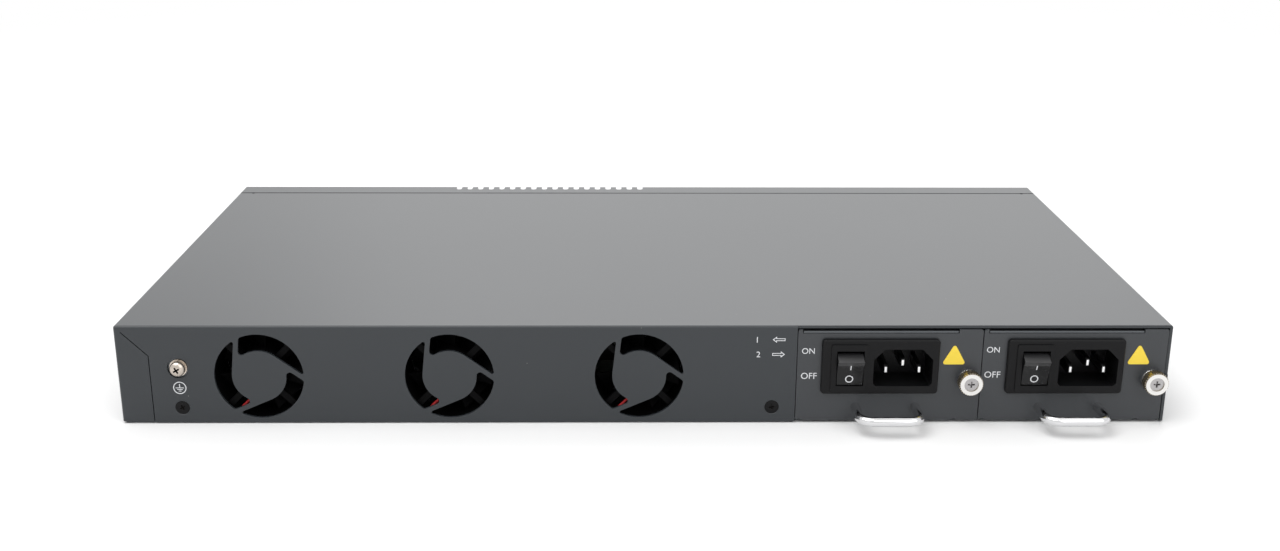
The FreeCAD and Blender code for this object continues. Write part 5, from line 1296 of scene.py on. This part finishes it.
@dataclass
class PortDress:
    """Shields, springs and numbers of the front ports."""

    copper: SocketRow = SocketRow("copper_ports", margin=1.2 * MM, pitch=14.3 * MM, columns=6, low=2.6 * MM,
                                  wide=12.0 * MM, high=8.6 * MM, apart=12.2 * MM)
    cages: SocketRow = SocketRow("fibre_cages", margin=0.8 * MM, pitch=14.4 * MM, columns=6, low=1.0 * MM,
                                 wide=13.6 * MM, high=9.0 * MM, apart=13.0 * MM)
    console: SocketRow = SocketRow("console_port", margin=0.85 * MM, pitch=14.3 * MM, columns=1, low=2.4 * MM,
                                   wide=12.0 * MM, high=8.6 * MM, apart=0.0, rows=1)
    plate: float = 0.08 * MM
    plate_sink: float = 0.02 * MM
    contacts: int = 8
    contact_pitch: float = 1.02 * MM
    contact_level: float = 0.9 * MM
    spring_half: tuple[float, float] = (0.2, 0.15)
    spring_back: tuple[float, float] = (3.6 * MM, 2.8 * MM)
    spring_bends: Corners = ((0.8, -0.25), (4.2, -1.7), (1.2, -0.2), (3.4, 1.1))
    finger_half: tuple[float, float] = (0.9, 0.06)
    finger_back: tuple[float, float] = (0.5 * MM, 0.0)
    finger_bends: Corners = ((2.2, 0.5), (2.2, -0.45))
    finger_level: float = 0.08 * MM
    finger_places: tuple[float, ...] = (-4.5 * MM, -1.5 * MM, 1.5 * MM, 4.5 * MM)
    number_high: float = 1.7 * MM
    number_gap: float = 0.75 * MM
    copper_first: int = 1
    cages_first: int = 13

    def build(self) -> list[bpy.types.Object]:
        """Dress every block.

        Returns:
            The shields, springs, fingers and numbers.
        """
        pieces = []
        for block in (self.copper, self.console):
            pieces.append(self.shield(block))
            pieces.append(self.springs(block))
        pieces.append(self.fingers(self.cages))
        pieces += self.numbers(self.copper, self.copper_first) + self.numbers(self.cages, self.cages_first)
        return pieces

    def shield(self, block: SocketRow) -> bpy.types.Object:
        """Press the metal face of a block, open at every socket.

        Args:
            block: Block that it covers.

        Returns:
            The finished shield.
        """
        low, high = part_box(block.node)
        face = Shaper.brick(f"{block.node}_shield", (low.x, high.y - self.plate_sink, low.z),
                            (high.x, high.y + self.plate, high.z))
        for x, sill, _ in block.spots():
            half = block.wide / 2
            face.carve(Shaper.brick("socket_cutter", (x - half, high.y - MM, sill),
                                    (x + half, high.y + MM, sill + block.high)))
        return face.clean().finish("chassis", "nickel", Palette.ZINC)

    @staticmethod
    def strip(name: str, half: tuple[float, float], ends: Sequence[float], bends: Corners,
              way: int) -> Shaper:
        """Bend a thin strip from its front end backwards.

        Args:
            name: Name of the strip.
            half: Half its width and half its thickness, in millimetres.
            ends: Rear and front end of its flat part along Y.
            bends: Run and drop of each bend, in millimetres.
            way: 1 for a strip as it is, -1 for one that is upside down.

        Returns:
            The shaper of the strip.
        """
        wide, thick = half[0] * MM, half[1] * MM
        rear, front = ends
        strip = Shaper.brick(name, (-wide, rear, -thick), (wide, front, thick))
        strip.pick(Part.FACE, facing(0, -1, 0))
        for run, drop in bends:
            strip.extrude(0.0, -run * MM, way * drop * MM)
        return strip.clean()

    @staticmethod
    def spread(strip: Shaper, places: Sequence[Point]) -> list[Shaper]:
        """Copy a strip to every place, and delete the first one."""
        made = [strip.copy(f"{strip.piece.name}_copy", *place) for place in places]
        bpy.data.objects.remove(strip.piece, do_unlink=True)
        return made

    def springs(self, block: SocketRow) -> bpy.types.Object:
        """Bend one contact spring and copy it into every socket.

        Args:
            block: Block that the springs belong to.

        Returns:
            All the springs as one piece.
        """
        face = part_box(block.node)[1].y
        ends = [face - back for back in self.spring_back]
        made: list[Shaper] = []
        for row, way in list(enumerate((1, -1)))[:block.rows]:
            spring = self.strip("spring", self.spring_half, ends, self.spring_bends, way)
            level = block.high - self.contact_level if way > 0 else self.contact_level
            made += self.spread(spring, [
                (x + (index - (self.contacts - 1) / 2) * self.contact_pitch, 0.0, sill + level)
                for x, sill, line in block.spots() if line == row for index in range(self.contacts)])
        springs = made[0].weld(*made[1:])
        springs.piece.name = f"{block.node}_springs"
        return springs.finish("chassis", "brass", Palette.GOLD)

    def fingers(self, block: SocketRow) -> bpy.types.Object:
        """Bend one earthing finger and copy it along the sills and tops of the cages.

        Args:
            block: Block of cages.

        Returns:
            All the fingers as one piece.
        """
        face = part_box(block.node)[1].y
        ends = [face - back for back in self.finger_back]
        made: list[Shaper] = []
        for way in (1, -1):
            finger = self.strip("finger", self.finger_half, ends, self.finger_bends, way)
            level = self.finger_level if way > 0 else block.high - self.finger_level
            made += self.spread(finger, [(x + across, 0.0, sill + level)
                                         for x, sill, _ in block.spots() for across in self.finger_places])
        fingers = made[0].weld(*made[1:])
        fingers.piece.name = "fibre_cage_fingers"
        return fingers.finish("chassis", "nickel", Palette.NICKEL)

    def numbers(self, block: SocketRow, first: int) -> list[bpy.types.Object]:
        """Print port numbers: odd ones over the block, even ones under it.

        Args:
            block: Block that the numbers belong to.
            first: Number of its first socket.

        Returns:
            The printed numbers.
        """
        low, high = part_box(block.node)
        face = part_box("front_panel")[1].y
        pieces = []
        for x, _, row in block.spots():
            column = round((high.x - block.margin - block.pitch / 2 - x) / block.pitch)
            number = first + 2 * column + (1 - row)
            base = high.z + self.number_gap if row == 1 else low.z - self.number_gap - self.number_high
            mark = Print(side=1).words(f"port_number_{number}", str(number), x, face, base,
                                         self.number_high, align=Align.CENTRE)
            pieces.append(mark.finish("chassis", "painted_steel", Palette.INK))
        return pieces


# ---------------------------------------------------------------------------- studio


@dataclass
class Studio:
    """Floor, lights and camera."""

    eye: Point = (-0.01161, -0.68209, 0.25144)
    pitch: float = 0.31606
    yaw: float = 0.01591
    roll: float = 0.00508
    lens: float = 41.06
    sensor: float = 36.0
    nearest: float = 0.01
    floor_size: float = 8.0
    fade_reach: tuple[float, float] = (0.5, 1.3)
    floor_colour: Colour = (0.86, 0.86, 0.86)
    world_fill: float = 0.62
    lamps: tuple[tuple[str, Point, float, float], ...] = (
        ("key", (-0.6, -0.5, 1.5), 1.4, 18.0), ("fill", (0.9, -1.1, 1.1), 1.6, 10.0),
        ("back", (0.2, 1.5, 1.6), 1.8, 16.0))

    def build(self) -> None:
        """Set the stage."""
        self.floor()
        self.world()
        for name, place, size, power in self.lamps:
            self.lamp(name, place, size, power)
        self.camera()
        bpy.context.scene.view_settings.view_transform = "Standard"

    def floor(self) -> None:
        """Lay the pale floor, which is white to the camera away from the shadow."""
        Shaper.rest()
        bpy.ops.mesh.primitive_plane_add(size=self.floor_size, location=(0, 0, 0))
        floor = bpy.context.object
        floor.name = "floor"
        finish = Finish("floor_paper", self.floor_colour, 0.9, specular=0.1, tone_shift=0.0).build()
        floor.data.materials.append(finish)
        self.fade(finish)

    def fade(self, finish: bpy.types.Material) -> None:
        """Let the floor pass into the white background far from the object, for the camera alone.

        Args:
            finish: Material of the floor.
        """
        wiring = Wiring(finish.node_tree)
        place = wiring.add("ShaderNodeTexCoord").outputs["Object"]
        away = wiring.add("ShaderNodeVectorMath", {0: place}, operation="LENGTH").outputs["Value"]
        near, far = self.fade_reach
        share = wiring.add("ShaderNodeMapRange", {"Value": away, "From Min": near, "From Max": far})
        seen = wiring.add("ShaderNodeLightPath").outputs["Is Camera Ray"]
        white = wiring.add("ShaderNodeEmission", {"Color": WHITE, "Strength": 1.0})
        paper = finish.node_tree.nodes["Principled BSDF"]
        mix = wiring.add("ShaderNodeMixShader", {
            0: wiring.math("MULTIPLY", share.outputs[0], seen), 1: paper.outputs[0], 2: white.outputs[0]})
        wiring.feed(finish.node_tree.nodes["Material Output"], {"Surface": mix.outputs[0]})

    def world(self) -> None:
        """Light from all round, white where it is seen or reflected."""
        world = bpy.data.worlds.new("studio")
        world.use_nodes = True
        bpy.context.scene.world = world
        wiring = Wiring(world.node_tree)
        soft = world.node_tree.nodes["Background"]
        wiring.feed(soft, {"Color": WHITE, "Strength": self.world_fill})
        bright = wiring.add("ShaderNodeBackground", {"Color": WHITE, "Strength": 1.0})
        path = wiring.add("ShaderNodeLightPath").outputs
        seen = wiring.math("MAXIMUM", path["Is Camera Ray"], path["Is Glossy Ray"])
        clear = wiring.math("MAXIMUM", seen, path["Is Transmission Ray"])
        mix = wiring.add("ShaderNodeMixShader", {0: clear, 1: soft.outputs[0], 2: bright.outputs[0]})
        wiring.feed(world.node_tree.nodes["World Output"], {"Surface": mix.outputs[0]})

    def lamp(self, name: str, place: Point, size: float, power: float) -> None:
        """Hang one soft lamp that faces the object.

        Args:
            name: Name of the lamp.
            place: Where it hangs, in metres.
            size: Side of the square lamp.
            power: Power in watts.
        """
        Shaper.rest()
        bpy.ops.object.light_add(type="AREA", location=place)
        lamp = bpy.context.object
        lamp.name = f"{name}_lamp"
        lamp.data.shape = "SQUARE"
        lamp.data.size = size
        lamp.data.energy = power
        lamp.rotation_euler = Vector(place).to_track_quat("Z", "Y").to_euler()

    def camera(self) -> None:
        """Stand the camera behind the switch, a little above it."""
        forward = Vector((math.sin(self.yaw) * math.cos(self.pitch),
                          math.cos(self.yaw) * math.cos(self.pitch), -math.sin(self.pitch)))
        right = forward.cross(Vector((0, 0, 1))).normalized()
        up = right.cross(forward)
        across = right * math.cos(self.roll) + up * math.sin(self.roll)
        above = up * math.cos(self.roll) - right * math.sin(self.roll)
        Shaper.rest()
        bpy.ops.object.camera_add()
        camera = bpy.context.object
        camera.data.lens = self.lens
        camera.data.sensor_width = self.sensor
        camera.data.clip_start = self.nearest
        turn = Matrix((across, above, -forward)).transposed().to_4x4()
        camera.matrix_world = Matrix.Translation(self.eye) @ turn
        bpy.context.scene.camera = camera


# --------------------------------------------------------------------- frame finishes


@dataclass
class FrameDress:
    """Finishes of the solids that show as they are."""

    frame: dict
    slots: dict[str, Finish] = field(default_factory=lambda: {
        "painted_steel": Palette.COVER,
        "zinc_steel": Palette.ZINC,
        "nickel": Palette.NICKEL,
        "brass": Palette.KNURL,
        "chrome": Palette.CHROME,
        "black_screw": Palette.BLACK_STEEL,
        "black_plastic": Palette.FAN,
        "natural_plastic": Palette.BUTTON,
        "circuit_board": Palette.BOARD,
        "chip_black": Palette.CHIP,
        "aluminium": Palette.ALUMINIUM,
        "wire": Palette.BLACK_WIRE,
        "yellow_label": Palette.LABEL,
        "clear_plastic": Palette.LIGHT,
    })
    # The module cases, the bay and the base take zinc darkened as painted shade.
    single: dict[str, Finish] = field(default_factory=lambda: {
        **{f"psu_{part}_{unit}": finish for unit in UNITS for part, finish in (
            ("panel", Palette.PANEL), ("case", Palette.SHADED_ZINC), ("inlet", Palette.INLET),
            ("rocker", Palette.ROCKER))},
        **dict.fromkeys(("earth_screw", "earth_washers"), Palette.WARM_NICKEL),
        **dict.fromkeys(("chassis_base", "bay_wall", "bay_divider", "bay_bracket"), Palette.SHADED_ZINC),
        **dict.fromkeys(("copper_ports", "console_port"), Palette.SOCKET),
    })

    def build(self) -> None:
        """Give each solid the finish of its slot, or its own."""
        slots = {part["node"]: part["material_slot"] for part in self.frame["record"]["subparts"]}
        for name, solid in self.frame["nodes"].items():
            finish = self.single.get(name, self.slots[slots[name]])
            solid.data.materials.clear()
            solid.data.materials.append(finish.build())


def main() -> None:
    """Build the switch and its studio."""
    logging.basicConfig(level=logging.INFO, format="%(name)s: %(message)s")
    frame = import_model()
    FrameDress(frame).build()
    Studio().build()
    makers = [maker(unit) for unit in UNITS for maker in (Thumbscrew, Handle, Rocker, InletPins)]
    makers += [ModulePrint(), WallPrint(), FanLeads(), CoverScrews(), EarthScrew(), PortDress()]
    for maker in makers:
        for piece in maker.build():
            LOG.info("%s: %d faces", piece.name, len(piece.data.polygons))


if __name__ == "__main__":
    main()
